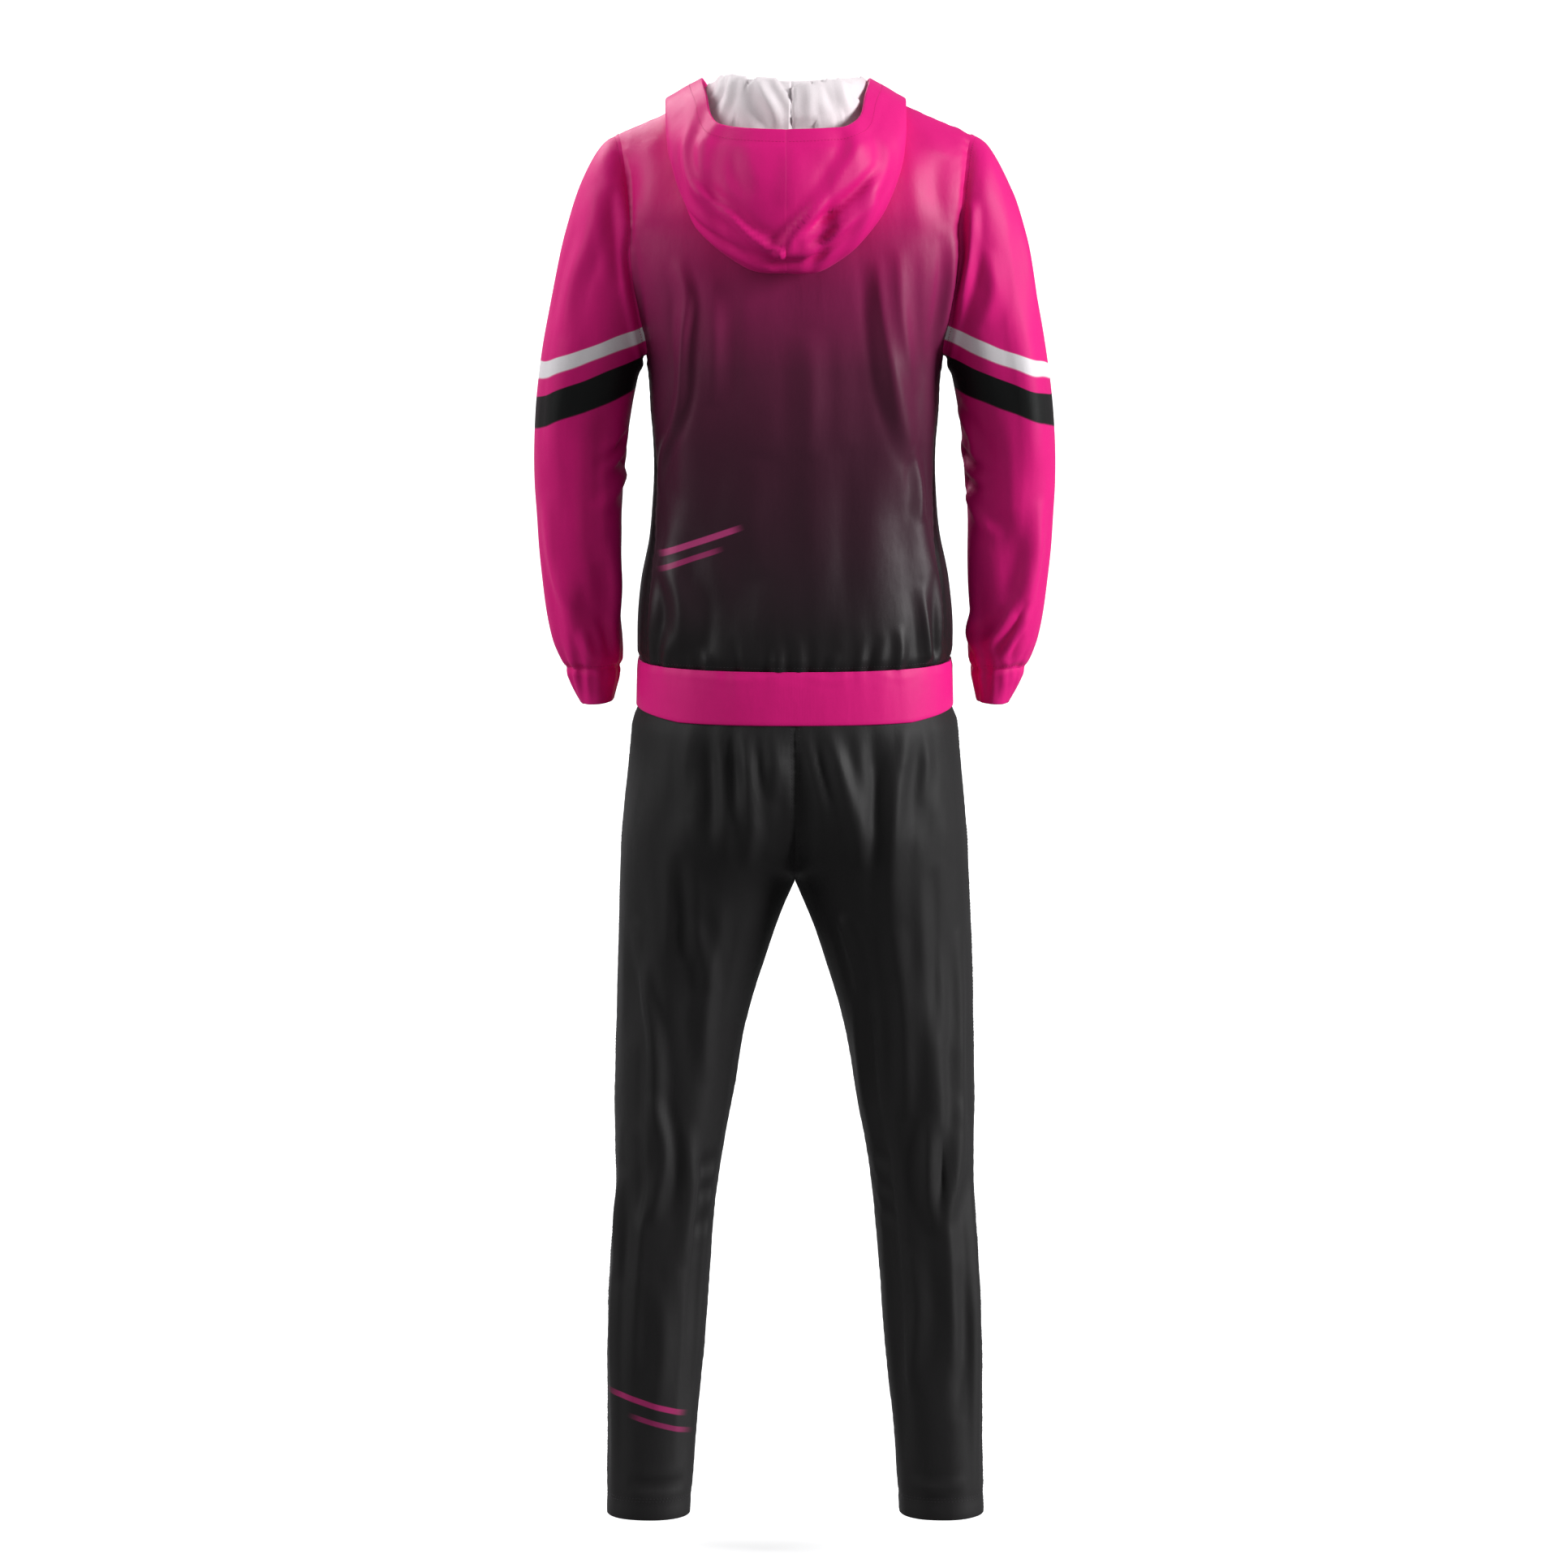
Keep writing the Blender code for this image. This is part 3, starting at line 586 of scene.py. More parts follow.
def fold(size, width, *line, skew=1.0, seam=None):
    # One fold in mm: size outwards, width, x and height along its line, how much wider one flank is,
    # and which end runs into a seam
    return {"size": size, "width": width, "line": line, "skew": skew, "seam": seam}


# Folds read off the photo at the back, and placed to suit at the front, which it doesn't show
backFolds = [
    fold(5.0, 9, (128, -150), (116, -189), (119, -234), (121, -287), (128, -327), (143, -367), (149, -407),
         skew=0.6),
    fold(2.4, 11, (89, -167), (87, -225), (88, -309)),
    fold(4.6, 10, (-91, -147), (-94, -189), (-101, -243), (-107, -287), (-116, -327), (-129, -367),
         skew=1.5),
    fold(2.6, 8, (-111, -136), (-117, -220), (-131, -296), skew=1.2),
    fold(5.5, 13, (137, -482), (123, -522), (124, -558), (140, -585), skew=1.2),
    fold(-3.0, 10, (151, -491), (146, -536), (154, -585), seam="end"),
    fold(3.0, 8, (-136, -504), (-142, -544), (-146, -583), skew=0.8, seam="end"),
    fold(-2.4, 7, (-152, -491), (-154, -544), (-156, -580), seam="end"),
    fold(2.6, 8, (-127, -356), (-135, -395), (-138, -438)),
    fold(3.8, 8, (184, -129), (178, -180), (173, -225), (167, -260), skew=0.7),
    fold(3.6, 8, (-171, -123), (-168, -172), (-161, -218), (-154, -253), skew=1.4),
    fold(-3.4, 16, (188, -38), (180, -69), (186, -114)),
    fold(-2.6, 15, (-156, -38), (-154, -74), (-162, -118)),
    fold(2.2, 20, (39, -367), (44, -438), (41, -496)),
    fold(-2.2, 18, (-57, -349), (-53, -447), (-60, -544)),
    fold(2.0, 14, (-12, -225), (-18, -287), (-14, -367), skew=0.8),
    fold(2.2, 6, (16, -603), (17, -584), (14, -568), seam="start"),
    fold(1.8, 5, (-4, -603), (-5, -585), (-3, -555), seam="start"),
    fold(-1.8, 5, (63, -599), (64, -576), (68, -560), seam="start"),
    fold(1.7, 5, (-39, -603), (-42, -584), (-40, -573), seam="start"),
    fold(-1.6, 6, (-80, -598), (-83, -577), (-91, -558), seam="start"),
    fold(1.8, 6, (96, -596), (99, -580), (105, -570), seam="start"),
    fold(2.0, 6, (-112, -594), (-115, -573), (-113, -549), seam="start"),
]

hoodBackFolds = [
    fold(6.0, 8, (131, 20), (121, 4), (114, -15), (105, -62), (88, -81), (66, -98), (43, -120), (12, -135),
         skew=0.55, seam="end"),
    fold(5.4, 8, (-99, 10), (-74, -32), (-48, -71), (-17, -110), (6, -135), skew=1.5, seam="end"),
    fold(-6.0, 6, (-104, -45), (-76, -74), (-40, -101), (-7, -129)),
    fold(4.0, 6, (-101, -81), (-74, -107), (-40, -134), (-7, -145)),
    fold(-3.4, 4, (-55, -89), (-42, -106), (-24, -120)),
    fold(-2.8, 4, (-62, -105), (-47, -120), (-28, -129)),
    fold(-4.6, 6, (132, -25), (124, -81), (102, -114), (67, -136), (32, -148), (-12, -149), (-39, -144),
         (-79, -113), (-106, -71), skew=0.8),
    fold(3.6, 8, (150, -15), (143, -62), (125, -99), (109, -120)),
    fold(3.0, 9, (-113, -17), (-108, -56), (-92, -98), (-67, -127)),
    fold(-2.0, 10, (62, -25), (54, -56), (40, -78)),
    fold(1.8, 12, (-12, -25), (-8, -56), (4, -87)),
    fold(-2.4, 5, (73, -118), (54, -134), (28, -142)),
]

liningFolds = [
    fold(-3.6, 6, (92, 40), (93, 29), (97, 13), (101, -3)),
    fold(3.0, 5, (81, 38), (83, 27), (85, 5), (91, -11)),
    fold(-4.2, 7, (63, 30), (49, 16), (34, 0), (25, -12)),
    fold(4.4, 5, (46, 38), (38, 26), (25, 12), (12, -5), skew=0.7),
    fold(2.0, 6, (-21, 37), (-25, 20), (-20, -3)),
    fold(-2.6, 8, (-44, 37), (-52, 21), (-62, 0)),
    fold(2.6, 6, (-66, 38), (-69, 27), (-75, 7)),
]

sleeveBackFolds = [
    fold(3.2, 13, (217, -73), (223, -127), (241, -178), (252, -234), skew=0.8),
    fold(-3.4, 9, (201, -74), (193, -129), (186, -180)),
    fold(2.8, 10, (272, -408), (266, -493), (246, -535), (232, -558)),
    fold(-3.8, 6, (186, -353), (200, -369), (219, -378), skew=0.8, seam="start"),
    fold(-3.2, 5, (186, -378), (196, -385), (209, -389), seam="start"),
    fold(2.6, 8, (187, -396), (204, -419), (223, -428), seam="start"),
    fold(-2.4, 12, (222, -337), (232, -408), (225, -489)),
    fold(3.0, 10, (204, -462), (196, -515), (197, -565), skew=1.3),
    fold(-2.6, 6, (214, -544), (206, -574), (200, -598)),
    fold(2.4, 6, (236, -560), (227, -583), (219, -599)),
    fold(3.0, 13, (-236, -76), (-256, -167), (-267, -233)),
    fold(-5.2, 7, (-177, -95), (-181, -142), (-167, -195), skew=1.2),
    fold(4.0, 8, (-191, -88), (-186, -156), (-175, -204), skew=0.8),
    fold(2.2, 9, (-209, -140), (-215, -185), (-204, -225)),
    fold(3.0, 8, (-175, -319), (-191, -346), (-198, -378)),
    fold(-4.2, 6, (-182, -369), (-198, -381), (-215, -389), seam="start"),
    fold(-3.2, 5, (-186, -399), (-203, -405), (-216, -401), seam="start"),
    fold(2.8, 8, (-190, -419), (-206, -444), (-227, -457), seam="start"),
    fold(-2.6, 14, (-229, -428), (-238, -483), (-229, -535)),
    fold(3.2, 10, (-268, -417), (-265, -480), (-256, -532)),
    fold(-4.6, 6, (-256, -532), (-237, -560), (-217, -587), skew=0.8),
    fold(3.4, 8, (-242, -544), (-223, -567), (-203, -580)),
    fold(3.8, 9, (-197, -544), (-191, -566), (-197, -589)),
    fold(-2.4, 5, (-252, -567), (-242, -584), (-232, -598)),
]

pantsBackFolds = [
    fold(-4.2, 9, (3, -659), (-8, -715), (-12, -757), (-7, -800), (-2, -823), seam="start"),
    fold(4.2, 8, (54, -661), (50, -715), (48, -768), (51, -818), seam="start"),
    fold(3.2, 7, (28, -663), (23, -697), (22, -737), seam="start"),
    fold(-4.2, 9, (95, -659), (92, -723), (92, -798), seam="start"),
    fold(-3.2, 7, (70, -659), (67, -710), (68, -763), seam="start"),
    fold(2.4, 8, (116, -659), (119, -701), (116, -750), seam="start"),
    fold(4.0, 9, (-38, -663), (-53, -715), (-66, -763), (-75, -816), seam="start"),
    fold(4.6, 10, (-119, -659), (-108, -750), (-105, -830), (-108, -892), (-111, -941), skew=1.2,
         seam="start"),
    fold(-4.4, 9, (-84, -659), (-89, -741), (-88, -814), seam="start"),
    fold(-2.6, 7, (-21, -663), (-32, -706), (-43, -741), seam="start"),
    fold(2.4, 8, (-139, -659), (-143, -697), (-138, -746), seam="start"),
    fold(4.4, 10, (174, -875), (166, -942), (155, -1013), (154, -1116), skew=0.8),
    fold(3.0, 9, (109, -871), (102, -911), (98, -953)),
    fold(-3.4, 9, (127, -799), (123, -862), (124, -924)),
    fold(3.0, 9, (80, -844), (86, -897), (98, -978), (100, -1058)),
    fold(3.8, 10, (-110, -879), (-120, -987), (-124, -1101)),
    fold(-3.4, 10, (-79, -942), (-81, -1022), (-86, -1103)),
    fold(3.4, 9, (-179, -888), (-182, -995), (-183, -1113)),
    fold(-2.8, 10, (-151, -817), (-155, -906), (-153, -1013)),
    fold(3.4, 8, (-54, -879), (-66, -924), (-77, -978), seam="start"),
    fold(4.0, 10, (158, -1070), (144, -1139), (157, -1217), skew=0.8),
    fold(3.2, 9, (190, -1159), (197, -1213), (196, -1284)),
    fold(-3.0, 8, (175, -1119), (170, -1168), (175, -1222)),
    fold(2.8, 9, (120, -1105), (114, -1177), (123, -1266)),
    fold(-1.3, 9, (84, -1148), (98, -1155), (111, -1152)),
    fold(-1.1, 8, (88, -1179), (100, -1184), (108, -1181)),
    fold(-1.2, 9, (91, -1213), (104, -1222), (116, -1223)),
    fold(4.2, 10, (-182, -1079), (-180, -1148), (-168, -1217), skew=1.2),
    fold(3.4, 9, (-148, -1096), (-147, -1168), (-156, -1231)),
    fold(-3.2, 8, (-164, -1110), (-164, -1168), (-161, -1213)),
    fold(-1.4, 9, (-82, -1139), (-96, -1147), (-109, -1145)),
    fold(-1.2, 8, (-86, -1173), (-98, -1181), (-109, -1186)),
    fold(-1.2, 9, (-88, -1200), (-100, -1209), (-114, -1213)),
    fold(2.4, 10, (-129, -1248), (-136, -1320), (-127, -1409)),
    fold(2.2, 10, (152, -1284), (147, -1356), (157, -1454)),
    fold(-2.0, 9, (-182, -1266), (-188, -1347), (-182, -1445)),
    fold(-2.0, 5, (186, -1513), (157, -1518), (123, -1515)),
    fold(1.8, 5, (-127, -1515), (-156, -1522), (-191, -1513)),
]

frontFolds = [
    fold(5.0, 10, (104, -140), (98, -200), (96, -270), (104, -350), (118, -420), skew=0.7),
    fold(4.2, 9, (-112, -150), (-103, -230), (-99, -300), (-108, -370), skew=1.3),
    fold(2.6, 12, (58, -180), (52, -260), (55, -350)),
    fold(-2.8, 11, (-60, -220), (-52, -310), (-57, -420)),
    fold(3.6, 8, (150, -225), (134, -262), (112, -290)),
    fold(3.0, 7, (-150, -230), (-129, -275), (-104, -296)),
    fold(-3.0, 8, (152, -270), (128, -306), (100, -322)),
    fold(4.4, 13, (112, -470), (101, -520), (108, -570)),
    fold(-3.2, 12, (70, -455), (64, -520), (72, -584)),
    fold(3.8, 12, (-92, -440), (-104, -510), (-98, -575), skew=0.8),
    fold(2.4, 16, (10, -380), (16, -450), (8, -530)),
    fold(-2.4, 14, (-30, -460), (-36, -520), (-28, -580)),
    fold(2.2, 6, (34, -596), (32, -578), (35, -556), seam="start"),
    fold(2.0, 5, (-8, -596), (-9, -574), (-6, -560), seam="start"),
    fold(-1.8, 5, (-66, -596), (-68, -576), (-72, -561), seam="start"),
    fold(2.0, 6, (88, -596), (90, -572), (87, -553), seam="start"),
    fold(2.2, 7, (40, -72), (46, -110), (60, -150)),
    fold(2.6, 8, (-44, -76), (-52, -120), (-70, -158)),
]

sleeveFrontFolds = [
    fold(3.6, 9, (228, -110), (232, -170), (244, -228)),
    fold(-3.4, 9, (206, -110), (203, -170), (198, -224)),
    fold(-5.2, 8, (190, -352), (214, -372), (240, -380), skew=0.8, seam="start"),
    fold(4.0, 8, (189, -330), (216, -344), (246, -350), seam="start"),
    fold(3.8, 8, (191, -384), (216, -402), (238, -412), skew=1.2, seam="start"),
    fold(-3.6, 7, (204, -418), (226, -432), (252, -428)),
    fold(2.6, 10, (262, -300), (268, -380), (258, -450)),
    fold(2.8, 10, (222, -470), (230, -520), (224, -570)),
    fold(-3.0, 7, (250, -560), (234, -588), (218, -600)),
    fold(3.2, 7, (206, -560), (212, -584), (210, -604)),
    fold(4.0, 9, (-226, -100), (-238, -160), (-240, -220), skew=0.8),
    fold(-3.8, 8, (-204, -118), (-200, -180), (-194, -236)),
    fold(-5.6, 8, (-190, -364), (-216, -378), (-242, -396), skew=1.2, seam="start"),
    fold(4.2, 8, (-190, -342), (-214, -350), (-240, -366), seam="start"),
    fold(3.6, 9, (-192, -396), (-210, -414), (-236, -430), seam="start"),
    fold(-3.0, 8, (-210, -440), (-232, -446), (-256, -462)),
    fold(3.0, 10, (-264, -310), (-270, -360), (-262, -470)),
    fold(-2.8, 9, (-226, -490), (-234, -540), (-228, -584)),
    fold(3.4, 8, (-246, -548), (-228, -578), (-214, -590)),
]

pantsFrontFolds = [
    fold(-4.4, 9, (0, -660), (-2, -730), (1, -800), (0, -838), seam="start"),
    fold(4.6, 9, (30, -655), (34, -720), (22, -790), seam="start"),
    fold(4.0, 9, (-34, -655), (-30, -740), (-16, -806), seam="start"),
    fold(-4.0, 8, (62, -655), (58, -730), (40, -800), seam="start"),
    fold(-3.4, 8, (-58, -655), (-60, -720), (-50, -776), seam="start"),
    fold(3.4, 8, (96, -655), (98, -740), (104, -830), seam="start"),
    fold(3.8, 9, (-90, -655), (-96, -730), (-92, -850), seam="start"),
    fold(-3.0, 9, (124, -655), (130, -720), (134, -800), seam="start"),
    fold(-3.2, 8, (-128, -655), (-130, -740), (-138, -790), seam="start"),
    fold(4.6, 9, (16, -826), (60, -852), (104, -858)),
    fold(4.2, 8, (-18, -822), (-58, -846), (-96, -846)),
    fold(-3.6, 9, (22, -858), (66, -884), (108, -894)),
    fold(-3.4, 9, (-24, -862), (-62, -880), (-110, -884)),
    fold(4.2, 11, (118, -900), (128, -1000), (134, -1090), skew=0.8),
    fold(3.8, 11, (-120, -880), (-126, -980), (-140, -1070), skew=1.2),
    fold(-3.2, 10, (160, -880), (164, -980), (160, -1080)),
    fold(3.0, 10, (-168, -860), (-170, -960), (-166, -1060)),
    fold(2.6, 10, (92, -1128), (126, -1150), (170, -1166), skew=1.2),
    fold(-2.2, 10, (100, -1188), (134, -1184), (172, -1196)),
    fold(2.0, 9, (112, -1214), (140, -1226), (176, -1246)),
    fold(2.4, 10, (-94, -1146), (-130, -1150), (-170, -1132), skew=0.8),
    fold(-2.2, 9, (-98, -1172), (-138, -1182), (-160, -1204)),
    fold(1.8, 9, (-120, -1216), (-150, -1212), (-186, -1232)),
    fold(3.4, 11, (136, -1250), (148, -1350), (142, -1450)),
    fold(3.6, 11, (-150, -1240), (-156, -1330), (-148, -1440)),
    fold(-2.8, 10, (172, -1280), (178, -1380), (174, -1490)),
    fold(-2.8, 10, (-182, -1260), (-184, -1390), (-178, -1500)),
    fold(2.4, 7, (124, -1530), (150, -1522), (186, -1528)),
    fold(2.4, 7, (-128, -1524), (-158, -1530), (-190, -1520)),
]

# Sizes of the folds' shape and fade
pathSteps = 8
pathReach = 0.03
pathPull = 2e-4
pathRounds = 5
foldWidthScale = 0.9
foldMargin = 4
leastFoldWidth = 0.0055
troughDepth = 0.28
troughAway = 2.2
troughWidth = 0.8
fadePower = 0.7

# Unevenness of hanging cloth, in waves a metre along each axis
slowWaves = (16, 16, 5.5)
quickWaves = (40, 40, 17)
quickShare = 0.4

# Puckers and gathers
ripple = {
    "rateX": 410, "swingX": 1.3, "driftZ": 97,
    "rateZ": 520, "swingZ": 2.1, "driftY": 83, "driftX": 61,
}
puckerFade = 0.009
gatherDrift = 1.7
gatherSharpness = 0.8
gatherFade = 1.4

# Sewn and turned edges and stitches, in metres
bendInset = 0.0003
bendDrop = 0.0006
tuckDrop = 0.0032
tuckShares = (0.3, 0.65, 1.0)
hemAngles = (0.5, 1.0, 1.57, 2.2, 2.7, math.pi)
stitch = {"spacing": 0.0038, "length": 0.0027, "width": 0.00036, "flatness": 0.8, "lift": 0.0001}
stitchInset = 0.0045
easeShare = 0.8


def fillRows(grid, count, wrap=False):
    # Points between the rows, on a smooth curve
    rows = len(grid)
    spans = rows if wrap else rows - 1
    if wrap:
        padded = np.concatenate([grid[-1:], grid, grid[:2]])
    else:
        padded = np.concatenate([2 * grid[:1] - grid[1:2], grid, 2 * grid[-1:] - grid[-2:-1]])
    a, b, c, d = (padded[start:start + spans] for start in range(4))
    square = 2 * a - 5 * b + 4 * c - d
    cube = 3 * b - a - 3 * c + d
    parts = []
    for step in range(count):
        t = step / count
        parts.append(b + 0.5 * ((c - a) * t + square * t**2 + cube * t**3))
    filled = np.stack(parts, axis=1).reshape(spans * count, *grid.shape[1:])
    return filled if wrap else np.concatenate([filled, grid[-1:]])


def smoothShare(part):
    part = np.clip(part, 0, 1)
    return part * part * (3 - 2 * part)


def relax(grid, height, reach, rounds, borders):
    # Eases the cloth around one height, away from the edges it shares
    columns = np.arange(grid.shape[1])
    inset = np.ones(len(columns))
    for border, away in zip(borders, (columns, columns[::-1])):
        if border:
            inset = inset * smoothShare(away / border)
    share = np.exp(-(((grid[:, :, 2] - height) / reach) ** 2)) * inset[None]
    for _ in range(rounds):
        middle = (grid[:-2] + grid[2:]) / 2
        grid[1:-1] += (middle - grid[1:-1]) * (share[1:-1] * easeShare)[:, :, None]
    return grid


def startCloth(pieces, name, grid, wrap=False, flip=False):
    # Fine grid of one cut piece, with the way its cloth faces and how far it is pressed out
    piece = pieces[name]
    grid = fillRows(grid, piece["rows"])
    grid = fillRows(grid.transpose(1, 0, 2), piece["columns"], wrap).transpose(1, 0, 2)
    if "ease" in piece:
        grid = relax(grid, *piece["ease"])
    return {
        "name": name, "piece": piece, "wrap": wrap, "flip": flip,
        "grid": grid.copy(), "normal": gridNormals(grid, wrap, flip), "rise": np.zeros(grid.shape[:2]),
    }


def edgeAway(cloth, edge):
    # Distance of every point from one edge of its piece, along the cloth
    grid = cloth["grid"]
    axis = 0 if "Row" in edge else 1
    step = np.linalg.norm(np.diff(grid, axis=axis), axis=2)
    first = np.zeros_like(grid[:1, :, 0] if axis == 0 else grid[:, :1, 0])
    if edge.startswith("first"):
        return np.concatenate([first, np.cumsum(step, axis=axis)], axis=axis)
    back = np.cumsum(np.flip(step, axis), axis=axis)
    return np.flip(np.concatenate([first, back], axis=axis), axis)


def foldPath(line, cloud, side):
    # Lays a fold's line on the cloth that faces its side
    points = fillRows(np.array(line, dtype=float) / 1000, pathSteps)
    face = cloud[cloud[:, 1] * side > -pathReach]
    depth = []
    for x, height in points:
        cost = (face[:, 0] - x) ** 2 + (face[:, 2] - height) ** 2 - pathPull * side * face[:, 1]
        depth.append(face[np.argmin(cost), 1])
    depth = np.array(depth)
    for _ in range(pathRounds):
        depth[1:-1] = (depth[:-2] + 2 * depth[1:-1] + depth[2:]) / 4
    return np.stack([points[:, 0], depth, points[:, 1]], axis=1)


def foldRise(points, normals, path, shape):
    # How far one fold lifts each point
    width = shape["width"] * foldWidthScale / 1000
    rise = np.zeros(len(points))
    low = path.min(axis=0) - width * foldMargin
    high = path.max(axis=0) + width * foldMargin
    near = np.flatnonzero(np.all((points > low) & (points < high), axis=1))
    if not len(near):
        return rise
    start = path[:-1]
    run = path[1:] - path[:-1]
    length = np.linalg.norm(run, axis=1)
    reach = points[near][:, None] - start[None]
    part = np.clip(np.einsum("nsk,sk->ns", reach, run) / length**2, 0, 1)
    gap = reach - part[:, :, None] * run[None]
    away = np.linalg.norm(gap, axis=2)
    best = np.argmin(away, axis=1)
    rows = np.arange(len(near))
    away = away[rows, best]
    gone = np.concatenate([[0], np.cumsum(length)])
    along = (gone[best] + part[rows, best] * length[best]) / gone[-1]
    sideways = np.cross(normals[near], run[best])
    flank = np.where(np.einsum("nk,nk->n", gap[rows, best], sideways) > 0, shape["skew"], 1.0)
    across = away / np.maximum(width * flank, leastFoldWidth)
    crest = np.exp(-across**2) - troughDepth * np.exp(-((across - troughAway) / troughWidth) ** 2)
    fade = {
        None: np.sin(math.pi * along),
        "start": np.cos(math.pi / 2 * along),
        "end": np.sin(math.pi / 2 * along),
    }[shape["seam"]]
    rise[near] = shape["size"] / 1000 * crest * np.maximum(fade, 0) ** fadePower
    return rise


def layFolds(cloths, folds, side, strength, rows=slice(None)):
    # Presses a list of folds into several pieces at once, so they run on over the seams
    cloud = np.concatenate([cloth["grid"][rows].reshape(-1, 3) for cloth in cloths])
    paths = [foldPath(shape["line"], cloud, side) for shape in folds]
    for cloth in cloths:
        points = cloth["grid"][rows].reshape(-1, 3)
        normals = cloth["normal"][rows].reshape(-1, 3)
        rise = sum(foldRise(points, normals, path, shape) for path, shape in zip(paths, folds))
        cloth["rise"][rows] += strength * rise.reshape(cloth["rise"][rows].shape)


def looseness(cloth, size):
    # Slow unevenness of cloth that hangs, longer downwards than across
    points = cloth["grid"].reshape(-1, 3)
    slow = [noise.noise(Vector(point)) for point in (points * slowWaves).tolist()]
    quick = [noise.noise(Vector(point)) for point in (points * quickWaves).tolist()]
    values = np.array(slow) + quickShare * np.array(quick)
    cloth["rise"] += size * values.reshape(cloth["rise"].shape)


def seamPull(cloth, edges, depth=0.0013, width=0.0045, pucker=0.0004):
    # Cloth sinks a little at its sewn edges and puckers along them
    x, y, z = np.moveaxis(cloth["grid"], 2, 0)
    driftX = ripple["swingX"] * np.sin(z * ripple["driftZ"])
    driftZ = ripple["swingZ"] * np.sin(y * ripple["driftY"] + x * ripple["driftX"])
    waves = np.sin(x * ripple["rateX"] + driftX) + np.sin(z * ripple["rateZ"] + driftZ)
    for edge in edges:
        away = edgeAway(cloth, edge)
        sink = -depth * np.exp(-((away / width) ** 2))
        cloth["rise"] += sink + pucker * waves * np.exp(-away / puckerFade)


def gathers(cloth, edge, size, fade, seed, waves):
    # Uneven gathers that run out of a seam
    away = edgeAway(cloth, edge)
    x, y, z = np.moveaxis(cloth["grid"], 2, 0)
    centre = cloth["piece"].get("gatherMiddle", (0.0, 0.0))
    turn = np.arctan2(x - centre[0], y - centre[1])
    total = sum(math.sin(seed * (count + 3)) * np.cos(turn * count + seed * count * gatherDrift)
                for count in waves)
    total = total / math.sqrt(len(waves))
    sharp = np.sign(total) * np.abs(total) ** gatherSharpness
    cloth["rise"] += size * sharp * np.exp(-((away / fade) ** gatherFade))


def ridge(cloth, edge, size, inset, width, share=1.0):
    # A ridge, or a groove where its size is negative, at a set distance from an edge
    away = edgeAway(cloth, edge)
    cloth["rise"] += size * share * np.exp(-(((away - inset) / width) ** 2))


def joinSeams(cloths, key):
    # Pieces that are sewn together move as one at their shared edge points
    met = {}
    for cloth in cloths:
        rows, columns = cloth["grid"].shape[:2]
        cells = {(row, column) for column in range(columns) for row in (0, rows - 1)}
        if not cloth["wrap"]:
            cells |= {(row, column) for row in range(rows) for column in (0, columns - 1)}
        for cell in sorted(cells):
            met.setdefault(tuple(np.round(cloth["grid"][cell], 4) + 0.0), []).append((cloth, cell))
    for group in met.values():
        total = sum(cloth[key][cell] for cloth, cell in group) / len(group)
        if key == "normal":
            total = total / np.linalg.norm(total)
        for cloth, cell in group:
            cloth[key][cell] = total


def settle(cloth):
    # Moves the cloth out by all that was pressed into it
    cloth["grid"] = cloth["grid"] + cloth["normal"] * cloth["rise"][:, :, None]
    cloth["face"] = (cloth["grid"], cloth["normal"])


def turned(cloth, edge, work):
    # Works on a grid with the given edge as its last row
    def turn(grid):
        return grid.transpose(1, 0, 2) if "Column" in edge else grid

    def order(grid):
        return grid[::-1] if edge.startswith("first") else grid

    grid, normal = work(order(turn(cloth["grid"])), order(turn(cloth["normal"])))
    cloth["grid"], cloth["normal"] = turn(order(grid)), turn(order(normal))


def outward(grid):
    # Which way the cloth runs off its last row
    out = grid[-1] - grid[-2]
    return out / np.linalg.norm(out, axis=1, keepdims=True)


def runOn(grid, normal, extra):
    # Adds rows past the last one, which face as it does
    normals = np.repeat(normal[-1:], len(extra), axis=0)
    return np.concatenate([grid, extra]), np.concatenate([normal, normals])


def seamAllowance(cloth, edges, depth=0.0035, lap=0.00005):
    # The cloth bends in at a seam, so no gap shows between two pieces
    def work(grid, normal):
        out = outward(grid)
        near = grid[-1] - out * bendInset
        bend = grid[-1] + out * lap - normal[-1] * bendDrop
        deep = grid[-1] + out * lap - normal[-1] * depth
        return runOn(np.concatenate([grid[:-1], [near]]), normal, [grid[-1], bend, deep])

    for edge in edges:
        turned(cloth, edge, work)


def tuckIn(cloth, edge, length):
    # The cloth runs on inside the piece that it is sewn to
    def work(grid, normal):
        out = outward(grid)
        return runOn(grid, normal, [grid[-1] + (out * length - normal[-1] * tuckDrop) * part
                                    for part in tuckShares])

    turned(cloth, edge, work)


def foldUnder(cloth, edge, radius, rows):
    # A free edge is turned under itself, as a sewn hem is
    def work(grid, normal):
        out = outward(grid)
        bends = [grid[-1] + out * radius * math.sin(angle) - normal[-1] * radius * (1 - math.cos(angle))
                 for angle in hemAngles]
        inside = [grid[-1 - row] - normal[-1 - row] * 2 * radius for row in range(1, rows + 1)]
        return runOn(grid, normal, bends + inside)

    turned(cloth, edge, work)


